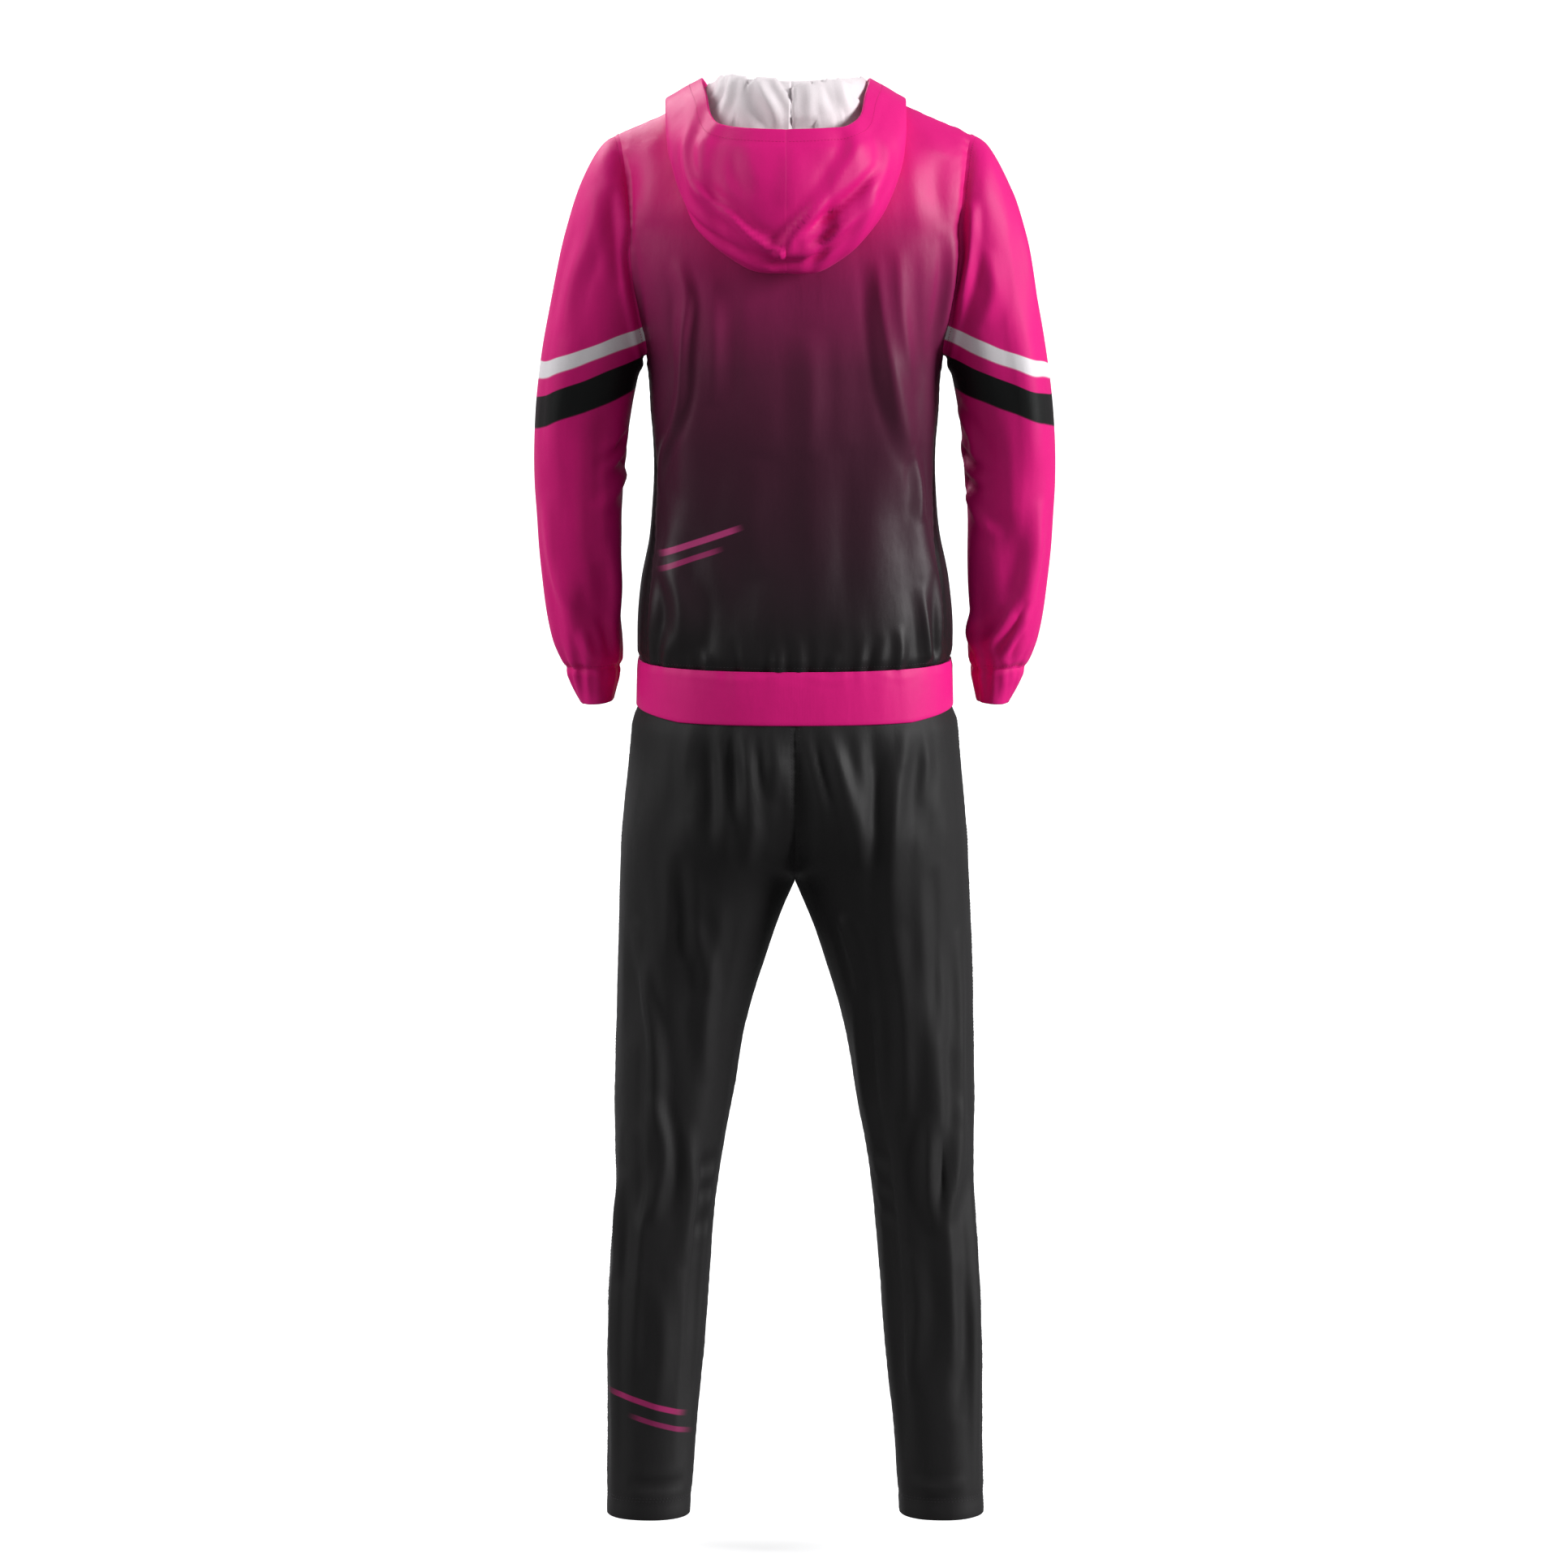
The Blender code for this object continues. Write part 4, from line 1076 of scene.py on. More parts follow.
def makeCloth(cloth):
    # A flat grid is moved point by point to its place on the garment, then given its wall
    name, piece = cloth["name"], cloth["piece"]
    grid = cloth["grid"]
    if cloth["wrap"]:
        grid = np.concatenate([grid, grid[:, :1]], axis=1)
    rows, columns = grid.shape[:2]
    print("sewing", name, rows, "by", columns, "points")
    bpy.ops.object.select_all(action="DESELECT")
    bpy.ops.mesh.primitive_grid_add(
        x_subdivisions=columns - 1, y_subdivisions=rows - 1, size=1, location=(0, 0, 0))
    made = bpy.context.object
    made.name = name
    made.data.name = name
    flat = np.empty(len(made.data.vertices) * 3)
    made.data.vertices.foreach_get("co", flat)
    flat = flat.reshape(-1, 3)
    row = np.rint((flat[:, 1] + 0.5) * (rows - 1)).astype(int)
    column = np.rint((flat[:, 0] + 0.5) * (columns - 1)).astype(int)
    made.data.vertices.foreach_set("co", grid[row, column].ravel())
    cut = made.data.uv_layers.active.data
    places = np.empty(len(cut) * 2)
    cut.foreach_get("uv", places)
    cut.foreach_set("uv", (places.reshape(-1, 2) * piece["flat"]).ravel())
    made.data.update()
    bpy.ops.object.mode_set(mode="EDIT")
    bpy.ops.mesh.select_all(action="SELECT")
    if cloth["wrap"]:
        bpy.ops.mesh.remove_doubles(threshold=0.00001)
    if cloth["flip"]:
        bpy.ops.mesh.flip_normals()
    bpy.ops.object.mode_set(mode="OBJECT")
    solid = made.modifiers.new("wall", "SOLIDIFY")
    solid.thickness = piece["wall"]
    solid.offset = -1
    bpy.ops.object.modifier_apply(modifier=solid.name)
    bpy.ops.object.shade_smooth()
    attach(made, "root")
    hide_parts(piece["node"])
    made.data.materials.clear()
    made.data.materials.append(piece["finish"])


def stitchLine(cloth, edge, inset):
    # Line on the cloth at a set distance from one edge, with the way the cloth faces there
    grid, normal = cloth["face"]
    if "Column" in edge:
        grid, normal = grid.transpose(1, 0, 2), normal.transpose(1, 0, 2)
    if edge.startswith("last"):
        grid, normal = grid[::-1], normal[::-1]
    step = np.linalg.norm(np.diff(grid, axis=0), axis=2)
    away = np.concatenate([np.zeros((1, grid.shape[1])), np.cumsum(step, axis=0)])
    places, facing = [], []
    for column in range(grid.shape[1]):
        row = max(int(np.searchsorted(away[:, column], inset)), 1)
        part = (inset - away[row - 1, column]) / (away[row, column] - away[row - 1, column])
        places.append(grid[row - 1, column] + (grid[row, column] - grid[row - 1, column]) * part)
        facing.append(normal[row, column])
    if cloth["wrap"] and "Row" in edge:
        places.append(places[0])
        facing.append(facing[0])
    return np.array(places), np.array(facing)


def pointAlong(values, gone, where):
    # Place or facing at a distance along a stitch line
    return np.array([np.interp(where, gone, values[:, axis]) for axis in range(3)])


def sewStitches(name, lines, finish):
    # One stitch is modelled and then set along every line
    bpy.ops.object.select_all(action="DESELECT")
    bpy.ops.mesh.primitive_uv_sphere_add(segments=5, ring_count=3, radius=1, location=(0, 0, 0))
    made = bpy.context.object
    made.name = name
    made.data.name = name
    ball = np.array([tuple(point.co) for point in made.data.vertices])
    faces = [tuple(face.vertices) for face in made.data.polygons]
    spacing, width = stitch["spacing"], stitch["width"]
    points, sides = [], []
    for places, facing in lines:
        gone = np.concatenate([[0], np.cumsum(np.linalg.norm(np.diff(places, axis=0), axis=1))])
        for middle in np.arange(spacing / 2, gone[-1] - spacing / 2, spacing):
            start = pointAlong(places, gone, middle - stitch["length"] / 2)
            end = pointAlong(places, gone, middle + stitch["length"] / 2)
            up = pointAlong(facing, gone, middle)
            up = up / np.linalg.norm(up)
            half = (end - start) / 2
            wide = np.cross(up, half / np.linalg.norm(half))
            centre = (start + end) / 2 + up * stitch["lift"]
            first = len(points) * len(ball)
            thick = up * width * stitch["flatness"]
            points.append(centre + ball[:, :1] * wide * width + ball[:, 1:2] * thick + ball[:, 2:] * half)
            sides += [tuple(corner + first for corner in face) for face in faces]
    made.data.clear_geometry()
    made.data.from_pydata(np.concatenate(points).tolist(), [], sides)
    made.data.update()
    bpy.ops.object.mode_set(mode="EDIT")
    bpy.ops.mesh.select_all(action="SELECT")
    bpy.ops.mesh.normals_make_consistent(inside=False)
    bpy.ops.object.mode_set(mode="OBJECT")
    bpy.ops.object.shade_smooth()
    made.data.materials.append(finish)
    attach(made, "root")
    print("sewn", name, len(points), "stitches")


# Finishes

noiseLow = 0.3
noiseHigh = 0.7
barSoftness = 0.0006
barFade = 0.02
texture = {
    "mottle": 7.0, "threads": 900.0, "threadShade": 0.03, "gloss": 0.05, "sheenRoughness": 0.35,
    "wave": 14.0, "waveHeight": 0.0022, "rowScale": 1.4, "weaveDepth": 0.0002,
    "crinkle": 38.0, "crinkleDepth": 0.002, "longer": 0.35,
}


def linearColour(red, green, blue):
    return tuple((value / 255 / 12.92 if value <= 10 else ((value / 255 + 0.055) / 1.055) ** 2.4)
                 for value in (red, green, blue)) + (1.0,)


def feed(tree, socket, value):
    if isinstance(value, bpy.types.NodeSocket):
        tree.links.new(value, socket)
    else:
        socket.default_value = value


def addNode(tree, kind, **sockets):
    node = tree.nodes.new(kind)
    for name, value in sockets.items():
        feed(tree, node.inputs[name.replace("_", " ")], value)
    return node


def calculate(tree, operation, first, second=0.0):
    node = tree.nodes.new("ShaderNodeMath")
    node.operation = operation
    feed(tree, node.inputs[0], first)
    feed(tree, node.inputs[1], second)
    return node.outputs[0]


def spread(tree, value, low, high, newLow, newHigh, smooth=False):
    node = addNode(tree, "ShaderNodeMapRange", Value=value, From_Min=low, From_Max=high,
                   To_Min=newLow, To_Max=newHigh)
    node.interpolation_type = "SMOOTHSTEP" if smooth else "LINEAR"
    return node.outputs["Result"]


def spreadNoise(tree, noiseNode, middle, reach):
    # Evens a noise out to a reach on both sides of a middle value
    return spread(tree, noiseNode.outputs["Fac"], noiseLow, noiseHigh, middle - reach, middle + reach)


def colourRamp(tree, factor, stops):
    node = addNode(tree, "ShaderNodeValToRGB", Fac=factor)
    ramp = node.color_ramp
    while len(ramp.elements) < len(stops):
        ramp.elements.new(0.5)
    for element, (place, colour) in zip(ramp.elements, stops):
        element.position = place
        element.color = linearColour(*colour)
    return node.outputs["Color"]


def levelRamp(tree, level, rows):
    # Colours that change with a level, from rows of a level and its colour
    low, high = rows[0][0], rows[-1][0]
    stops = [((place - low) / (high - low), colour) for place, colour in rows]
    return colourRamp(tree, spread(tree, level, low, high, 0, 1), stops)


def blendColours(tree, factor, first, second):
    node = tree.nodes.new("ShaderNodeMix")
    node.data_type = "RGBA"
    for place, value in ((0, factor), (6, first), (7, second)):
        feed(tree, node.inputs[place], value)
    return node.outputs[2]


def barMask(tree, place, bar):
    # A slanted bar printed on the cloth, from its middle, length, width and slope
    split = addNode(tree, "ShaderNodeSeparateXYZ", Vector=place)
    right = calculate(tree, "SUBTRACT", split.outputs["X"], bar["middle"][0])
    up = calculate(tree, "SUBTRACT", split.outputs["Z"], bar["middle"][1])
    cosine = math.cos(math.radians(bar["slope"]))
    sine = math.sin(math.radians(bar["slope"]))
    lengthwise = calculate(tree, "ADD", calculate(tree, "MULTIPLY", right, cosine),
                           calculate(tree, "MULTIPLY", up, sine))
    across = calculate(tree, "SUBTRACT", calculate(tree, "MULTIPLY", up, cosine),
                       calculate(tree, "MULTIPLY", right, sine))
    halfWidth, halfLength = bar["width"] / 2, bar["length"] / 2
    wide = spread(tree, calculate(tree, "ABSOLUTE", across),
                  halfWidth - barSoftness, halfWidth + barSoftness, 1, 0, True)
    long = spread(tree, calculate(tree, "ABSOLUTE", lengthwise),
                  halfLength - barFade, halfLength, 1, 0, True)
    return calculate(tree, "MULTIPLY", wide, long)


def clothFinish(name, look):
    # A knit with its colour, unevenness, sheen, wales and crinkle
    material = bpy.data.materials.new(name)
    material.use_nodes = True
    tree = material.node_tree
    shader = tree.nodes["Principled BSDF"]
    place = tree.nodes.new("ShaderNodeTexCoord")
    here = place.outputs["Object"]
    cut = place.outputs["UV"]
    split = addNode(tree, "ShaderNodeSeparateXYZ", Vector=here)
    if "heights" in look:
        base = levelRamp(tree, split.outputs["Z"], look["heights"])
    elif "stripes" in look:
        away = calculate(tree, "ABSOLUTE", split.outputs["X"])
        slant = calculate(tree, "MULTIPLY", away, look["stripeSlope"])
        wave = addNode(tree, "ShaderNodeTexNoise", Vector=here, Scale=texture["wave"], Detail=1.0)
        shift = spreadNoise(tree, wave, 0.0, texture["waveHeight"])
        level = calculate(tree, "ADD", calculate(tree, "ADD", split.outputs["Z"], slant), shift)
        base = levelRamp(tree, level, look["stripes"])
    else:
        base = linearColour(*look["colour"])
    for bar in look.get("bars", []):
        base = blendColours(tree, barMask(tree, here, bar), base, linearColour(*bar["colour"]))
    mottle = addNode(tree, "ShaderNodeTexNoise", Vector=here, Scale=texture["mottle"], Detail=4.0,
                     Roughness=0.6)
    threads = addNode(tree, "ShaderNodeTexNoise", Vector=here, Scale=texture["threads"], Detail=2.0)
    cloudy = spreadNoise(tree, mottle, 1, look["uneven"])
    grain = spreadNoise(tree, threads, 0.0, texture["threadShade"])
    tint = addNode(tree, "ShaderNodeHueSaturation", Value=calculate(tree, "ADD", cloudy, grain), Color=base)
    feed(tree, shader.inputs["Base Color"], tint.outputs["Color"])
    feed(tree, shader.inputs["Roughness"], spreadNoise(tree, mottle, look["roughness"], texture["gloss"]))
    shader.inputs["Specular IOR Level"].default_value = look["specular"]
    shader.inputs["Sheen Weight"].default_value = look["sheen"]
    shader.inputs["Sheen Roughness"].default_value = texture["sheenRoughness"]
    shader.inputs["Sheen Tint"].default_value = linearColour(*look["sheenTint"])
    bands = []
    for direction, scale in (("X", look["waleScale"]), ("Y", look["waleScale"] * texture["rowScale"])):
        band = addNode(tree, "ShaderNodeTexWave", Vector=cut, Scale=scale, Distortion=0.6)
        band.bands_direction = direction
        bands.append(band.outputs["Fac"])
    knit = calculate(tree, "MULTIPLY", *bands)
    fine = addNode(tree, "ShaderNodeBump", Strength=look["weave"], Distance=texture["weaveDepth"],
                   Height=knit)
    stretch = addNode(tree, "ShaderNodeMapping", Vector=here, Scale=(1.0, 1.0, texture["longer"]))
    crinkle = addNode(tree, "ShaderNodeTexNoise", Vector=stretch.outputs[0], Scale=texture["crinkle"],
                      Detail=3.0, Roughness=0.55)
    soft = addNode(tree, "ShaderNodeBump", Strength=look["crinkle"], Distance=texture["crinkleDepth"],
                   Height=crinkle.outputs["Fac"], Normal=fine.outputs["Normal"])
    feed(tree, shader.inputs["Normal"], soft.outputs["Normal"])
    return material


pink = (232, 24, 132)
palePink = (234, 26, 134)
stripePink = (226, 22, 128)
stripeBlack = (18, 20, 20)
stripeWhite = (246, 242, 246)
knitLook = {"uneven": 0.05, "waleScale": 420.0, "weave": 0.25, "crinkle": 0.35}

pinkLook = dict(knitLook, colour=pink, roughness=0.50, specular=0.22, sheen=0.06, sheenTint=(255, 150, 205))
pinkKnit = clothFinish("pinkKnit", pinkLook)

sleeveLook = dict(pinkLook, stripeSlope=0.385, stripes=[
    (-0.330, pink), (-0.2315, pink),
    (-0.2305, stripeBlack), (-0.1970, stripeBlack),
    (-0.1960, stripePink), (-0.1795, stripePink),
    (-0.1785, stripeWhite), (-0.1622, stripeWhite),
    (-0.1612, pink), (-0.060, palePink),
])
sleeveKnit = clothFinish("sleeveKnit", sleeveLook)

bodyLook = dict(knitLook, roughness=0.42, specular=0.26, sheen=0.05, sheenTint=(235, 150, 190), heights=[
    (-0.600, (26, 25, 26)), (-0.560, (31, 27, 29)), (-0.494, (47, 29, 38)), (-0.420, (63, 30, 46)),
    (-0.360, (76, 31, 53)), (-0.270, (101, 33, 66)), (-0.180, (149, 32, 91)), (-0.130, (178, 29, 104)),
    (-0.085, (219, 26, 124)), (0.030, pink),
])
frontKnit = clothFinish("frontKnit", bodyLook)
backKnit = clothFinish("backKnit", dict(bodyLook, bars=[
    {"middle": (0.103, -0.457), "length": 0.104, "width": 0.0068, "slope": -20, "colour": (200, 66, 132)},
    {"middle": (0.114, -0.477), "length": 0.082, "width": 0.0058, "slope": -20, "colour": (168, 48, 108)},
]))

blackLook = dict(knitLook, colour=(17, 17, 18), uneven=0.08, roughness=0.45, specular=0.3, sheen=0.15,
                 sheenTint=(190, 190, 200), crinkle=0.3)
blackKnit = clothFinish("blackKnit", blackLook)

charcoalLook = dict(knitLook, colour=(30, 29, 30), uneven=0.07, roughness=0.58, specular=0.26, sheen=0.12,
                    sheenTint=(200, 200, 205), waleScale=400.0)
charcoalKnit = clothFinish("charcoalKnit", charcoalLook)
legKnit = clothFinish("legKnit", dict(charcoalLook, bars=[
    {"middle": (0.164, -1.424), "length": 0.096, "width": 0.0064, "slope": 17, "colour": (168, 40, 104)},
    {"middle": (0.150, -1.448), "length": 0.078, "width": 0.0058, "slope": 17, "colour": (138, 36, 88)},
]))

whiteLining = clothFinish("whiteLining", {
    "colour": (243, 234, 238), "uneven": 0.03, "roughness": 0.6, "specular": 0.25, "sheen": 0.2,
    "sheenTint": (255, 240, 248), "waleScale": 300.0, "weave": 0.4, "crinkle": 0.45,
})
pinkThread = clothFinish("pinkThread", dict(pinkLook, colour=(206, 22, 116), crinkle=0.1))
darkThread = clothFinish("darkThread", dict(blackLook, colour=(40, 36, 40), roughness=0.5, crinkle=0.1))
print("finishes made")

# Jacket

knitWall = 0.0011
sides = ((1, "Left"), (-1, "Right"))
sleeveMiddle = (0.223, -0.020)
underarmEase = (underarmHeight, 0.05, 60, (26, 26))

jacketPieces = {
    "jacketBack": {
        "node": "jacket_back", "rows": 4, "columns": 4, "wall": knitWall, "slot": "jacket_knit",
        "finish": backKnit, "flat": (0.5, 0.7), "area": 0.26, "held": "hung",
        "restsOn": ["jacketFront"], "ease": underarmEase,
    },
    "jacketFront": {
        "node": "jacket_front", "rows": 4, "columns": 4, "wall": knitWall, "slot": "jacket_knit",
        "finish": frontKnit, "flat": (0.58, 0.69), "area": 0.236, "held": "hung",
        "restsOn": ["jacketBack"], "ease": underarmEase,
    },
}
for side, label in sides:
    jacketPieces["jacketSide" + label] = {
        "node": "jacket_side_" + label.lower(), "rows": 4, "columns": 6, "wall": knitWall,
        "slot": "black_knit", "finish": blackKnit, "flat": (0.125, 0.35), "area": 0.0255, "held": "hung",
        "restsOn": ["jacketBack"],
    }
    jacketPieces["sleeve" + label] = {
        "node": "sleeve_" + label.lower(), "rows": 8, "columns": 4, "wall": knitWall, "slot": "pink_knit",
        "finish": sleeveKnit, "flat": (0.62, 0.63), "area": 0.182, "held": "hung",
        "restsOn": ["jacketBack", "jacketFront"], "gatherMiddle": (side * sleeveMiddle[0], sleeveMiddle[1]),
    }
    jacketPieces["cuff" + label] = {
        "node": "cuff_" + label.lower(), "rows": 6, "columns": 4, "wall": knitWall, "slot": "pink_knit",
        "finish": pinkKnit, "flat": (0.225, 0.081), "area": 0.0138, "held": "gathered",
        "restsOn": ["sleeve" + label], "gatherMiddle": (side * sleeveMiddle[0], sleeveMiddle[1]),
    }

backGrid = bodyPanel(1)
frontGrid = bodyPanel(-1)
jacket = {
    "jacketBack": startCloth(jacketPieces, "jacketBack", backGrid, flip=True),
    "jacketFront": startCloth(jacketPieces, "jacketFront", frontGrid),
}
for side, label in sides:
    gore = gorePanel(side)
    ring = armhole(side, backGrid, frontGrid, gore)
    angles = sleeveAngles(ring)
    sleeve, cuff = ([tubeRing(source, place, angles, side) for place in source["ring"]]
                    for source in (sleeveTable, cuffTable))
    sleeve = np.array([ring] + sleeve)
    cuff = np.array(cuff)
    for start, grid, wrap in (("jacketSide", gore, False), ("sleeve", sleeve, True), ("cuff", cuff, True)):
        jacket[start + label] = startCloth(jacketPieces, start + label, grid, wrap, side > 0)

bodyNames = ["jacketBack", "jacketFront", "jacketSideLeft", "jacketSideRight"]
bodyCloths = [jacket[name] for name in bodyNames]
sleeveCloths = [jacket[start + label] for start in ("sleeve", "cuff") for side, label in sides]
joinSeams(bodyCloths + sleeveCloths, "normal")
layFolds(bodyCloths, backFolds, 1, strength=1.5)
layFolds(bodyCloths, frontFolds, -1, strength=1.4)
layFolds(sleeveCloths, sleeveBackFolds, 1, strength=1.3)
layFolds(sleeveCloths, sleeveFrontFolds, -1, strength=1.15)

allAround = ("firstRow", "lastRow", "firstColumn", "lastColumn")
bodySeam = {"depth": 0.0019, "width": 0.0055}
bandSeam = {"depth": 0.0014, "width": 0.007, "pucker": 0.0}
hemGathers = {"seed": 1.31, "waves": (31, 37, 43, 52)}
cuffGathers = {"seed": 2.17, "waves": (7, 9, 11, 14, 17)}
armholeRidge = {"size": 0.0026, "inset": 0.013, "width": 0.007}
ridgeStart = -0.085
ridgeReach = 0.06
cuffFold = {"radius": 0.0016, "rows": 12}
for name, cloth in jacket.items():
    looseness(cloth, 0.0010 if "cuff" in name else 0.0014)
    if name in bodyNames:
        gathers(cloth, "firstRow", 0.0010, 0.040, **hemGathers)
        seamPull(cloth, allAround, **bodySeam)
        seamPull(cloth, ("firstRow",), **bandSeam)
    elif "sleeve" in name:
        gathers(cloth, "lastRow", 0.0022, 0.034, **cuffGathers)
        seamPull(cloth, ("firstRow", "lastRow"), **bodySeam)
        under = np.clip((ridgeStart - cloth["grid"][:, :, 2]) / ridgeReach, 0, 1)
        ridge(cloth, "firstRow", share=under, **armholeRidge)
    else:
        gathers(cloth, "firstRow", 0.0022, 0.026, **cuffGathers)
        seamPull(cloth, ("firstRow",))
joinSeams(bodyCloths + sleeveCloths, "rise")
for name, cloth in jacket.items():
    settle(cloth)
    if name in bodyNames:
        seamAllowance(cloth, allAround)
    elif "sleeve" in name:
        seamAllowance(cloth, ("firstRow", "lastRow"))
    else:
        seamAllowance(cloth, ("firstRow",))
        foldUnder(cloth, "lastRow", **cuffFold)
    makeCloth(cloth)
print("jacket body, sleeves and cuffs made")

pinkLines = [stitchLine(jacket["sleeve" + label], edge, stitchInset)
             for side, label in sides for edge in ("firstRow", "lastRow")]
sewStitches("sleeveStitches", pinkLines, pinkThread)
darkLines = [stitchLine(jacket[name], "firstRow", stitchInset) for name in bodyNames]
sewStitches("jacketHemStitches", darkLines, darkThread)

# Hem band and waistband

bandPieces = {
    "hemBand": {
        "node": "hem_band", "rows": 8, "columns": 3, "wall": 0.0013, "slot": "pink_knit",
        "finish": pinkKnit, "flat": (0.985, 0.101), "area": 0.098, "held": "stretched",
        "restsOn": ["jacketBack", "jacketFront"],
    },
    "waistbandCloth": {
        "node": "waistband", "rows": 8, "columns": 2, "wall": 0.0012, "slot": "charcoal_knit",
        "finish": charcoalKnit, "flat": (0.87, 0.041), "area": 0.0345, "held": "gathered",
        "restsOn": ["pantsBackLeft", "pantsBackRight"],
    },
}
bandSag = 0.008
sagDepth = 0.10
bandGrid = np.array([sectionRing(height, bandTable) for height in bandTable["height"][::-1]])
band = startCloth(bandPieces, "hemBand", bandGrid, True, True)
looseness(band, 0.0009)
gathers(band, "lastRow", 0.0006, 0.016, **hemGathers)
seamPull(band, ("lastRow",), 0.0012, 0.004, 0.0003)
settle(band)
below = edgeAway(band, "lastRow")
atBack = np.clip(band["grid"][:, :, 1] / sagDepth, 0, 1)
band["grid"][:, :, 2] -= bandSag * (below / below.max()) * atBack**2
seamAllowance(band, ("lastRow",))
foldUnder(band, "firstRow", 0.0018, 14)
makeCloth(band)

waistInset = 0.0012
waistGrid = np.array([sectionRing(height, pantsTable) for height in steps(waistSeam, waistTop, 2)])
waist = startCloth(bandPieces, "waistbandCloth", waistGrid, True, True)
gathers(waist, "firstRow", 0.0012, 0.200, 0.77, (29, 34, 41, 47))
waist["rise"] -= waistInset
settle(waist)
makeCloth(waist)
print("hem band and waistband made")

# Pants

pantsPieces = {}
for side, label in sides:
    for place, flat, area in (("Back", (0.34, 1.11), 0.239), ("Front", (0.33, 1.09), 0.229)):
        pantsPieces["pants" + place + label] = {
            "node": "pants_" + place.lower() + "_" + label.lower(), "rows": 3, "columns": 4, "wall": 0.0012,
            "slot": "charcoal_knit", "finish": legKnit if place + label == "BackLeft" else charcoalKnit,
            "flat": flat, "area": area, "held": "hung",
            "restsOn": ["waistbandCloth"], "ease": (-0.862, 0.05, 160, (34, 0)),
        }
pants = {}
for side, label in sides:
    for face, place in ((1, "Back"), (-1, "Front")):
        name = "pants" + place + label
        pants[name] = startCloth(pantsPieces, name, pantsPanel(side, face), flip=side * face < 0)
legCloths = list(pants.values())
joinSeams(legCloths, "normal")
layFolds(legCloths, pantsBackFolds, 1, strength=1.35)
layFolds(legCloths, pantsFrontFolds, -1, strength=1.3)
foldsStart = -0.652
foldsReach = 0.045
hemGroove = {"size": -0.0009, "inset": 0.0217, "width": 0.0035}
for cloth in legCloths:
    looseness(cloth, 0.0015)
    cloth["rise"] *= np.clip((foldsStart - cloth["grid"][:, :, 2]) / foldsReach, 0, 1)
    seamPull(cloth, ("firstColumn", "lastColumn"), 0.0010, 0.004, 0.0004)
    ridge(cloth, "lastRow", **hemGroove)
joinSeams(legCloths, "rise")
for cloth in legCloths:
    settle(cloth)
    seamAllowance(cloth, ("firstRow", "firstColumn", "lastColumn"))
    foldUnder(cloth, "lastRow", 0.0016, 5)
    makeCloth(cloth)
print("pants made")

hemLines = (0.0200, 0.0235)
seatEnd = crotchHeight + 0.01
legLines = [stitchLine(cloth, "lastRow", inset) for cloth in legCloths for inset in hemLines]
for name, cloth in pants.items():
    if "Back" in name:
        legLines.append(stitchLine(cloth, "lastColumn", stitchInset))
    seat, facing = stitchLine(cloth, "firstColumn", stitchInset)
    above = seat[:, 2] > seatEnd
    legLines.append((seat[above], facing[above]))
sewStitches("pantsStitches", legLines, darkThread)

# Hood and lining

hoodRows = 8
hoodColumns = 5
hoodPieces = {}
for side, label in sides:
    hoodPieces["hood" + label] = {
        "node": "hood_" + label.lower(), "rows": hoodRows, "columns": hoodColumns, "wall": knitWall,
        "slot": "pink_knit", "finish": pinkKnit, "flat": (0.545, 0.475), "area": 0.0908,
        "held": "folded", "restsOn": ["jacketBack"],
    }
    hoodPieces["lining" + label] = {
        "node": "hood_lining_" + label.lower(), "rows": hoodRows, "columns": hoodColumns, "wall": 0.0008,
        "slot": "white_lining", "finish": whiteLining, "flat": (0.545, 0.455), "area": 0.083,
        "held": "folded", "restsOn": ["hood" + label],
    }

# Width of the lying hood against its sewn width, for the outer layer and for the stand and inner layer
hoodSpread = table(
    "height outer inner",
    (-0.170, 0.50, 0.40),
    (-0.160, 0.56, 0.46),
    (-0.150, 0.64, 0.54),
    (-0.135, 0.76, 0.66),
    (-0.115, 0.86, 0.77),
    (-0.093, 0.93, 0.85),
    (-0.051, 0.97, 0.91),
    (-0.020, 0.96, 0.90),
    (0.000, 0.94, 0.85),
    (0.020, 0.92, 0.76),
    (0.050, 0.92, 0.76),
)
# Lift of each ring for its move inwards, rings where its parts begin, and shares and shifts in metres
hoodLift = {"ring": [0, 4, 6, 8, 10, 13], "lift": [0.1, 0.1, shoulderSlope, 0.0, 0.0, 0.3]}
hoodRing = {"neck": 3, "inner": 6, "turn": 7, "rim": 10}
rimNarrowing = 0.20
sideShift = 0.004
pouchShift = 0.006
frontEnd = 0.55
frontColumns = 11


def spreadHood(grid, ring):
    # How far each point of the hood moves, to lie narrow at its rim and bottom and a little to one side
    x, height = grid[:, :, 0], grid[:, :, 2]
    levels = np.linspace(-0.18, 0.06, 97)
    outer, inner = (np.interp(height, levels, [read(hoodSpread, column, level) for level in levels])
                    for column in ("outer", "inner"))
    high = smoothShare((height + 0.030) / 0.050)
    fromNeck = np.clip(ring / hoodRing["neck"], 0, 1)
    fromPouch = np.clip((ring - hoodRing["inner"]) / 3, 0, 1)
    rim = rimNarrowing * np.clip((ring - hoodRing["rim"]) / 3, 0, 1) ** 1.2 * high
    width = inner + (outer - inner) * smoothShare((ring - hoodRing["turn"]) / 1.5) - rim
    inward = x * (1 - width) * fromNeck
    move = np.zeros_like(grid)
    move[:, :, 0] = sideShift * fromNeck + pouchShift * fromPouch - inward
    move[:, :, 2] = np.interp(ring, hoodLift["ring"], hoodLift["lift"]) * high * np.abs(inward)
    return move


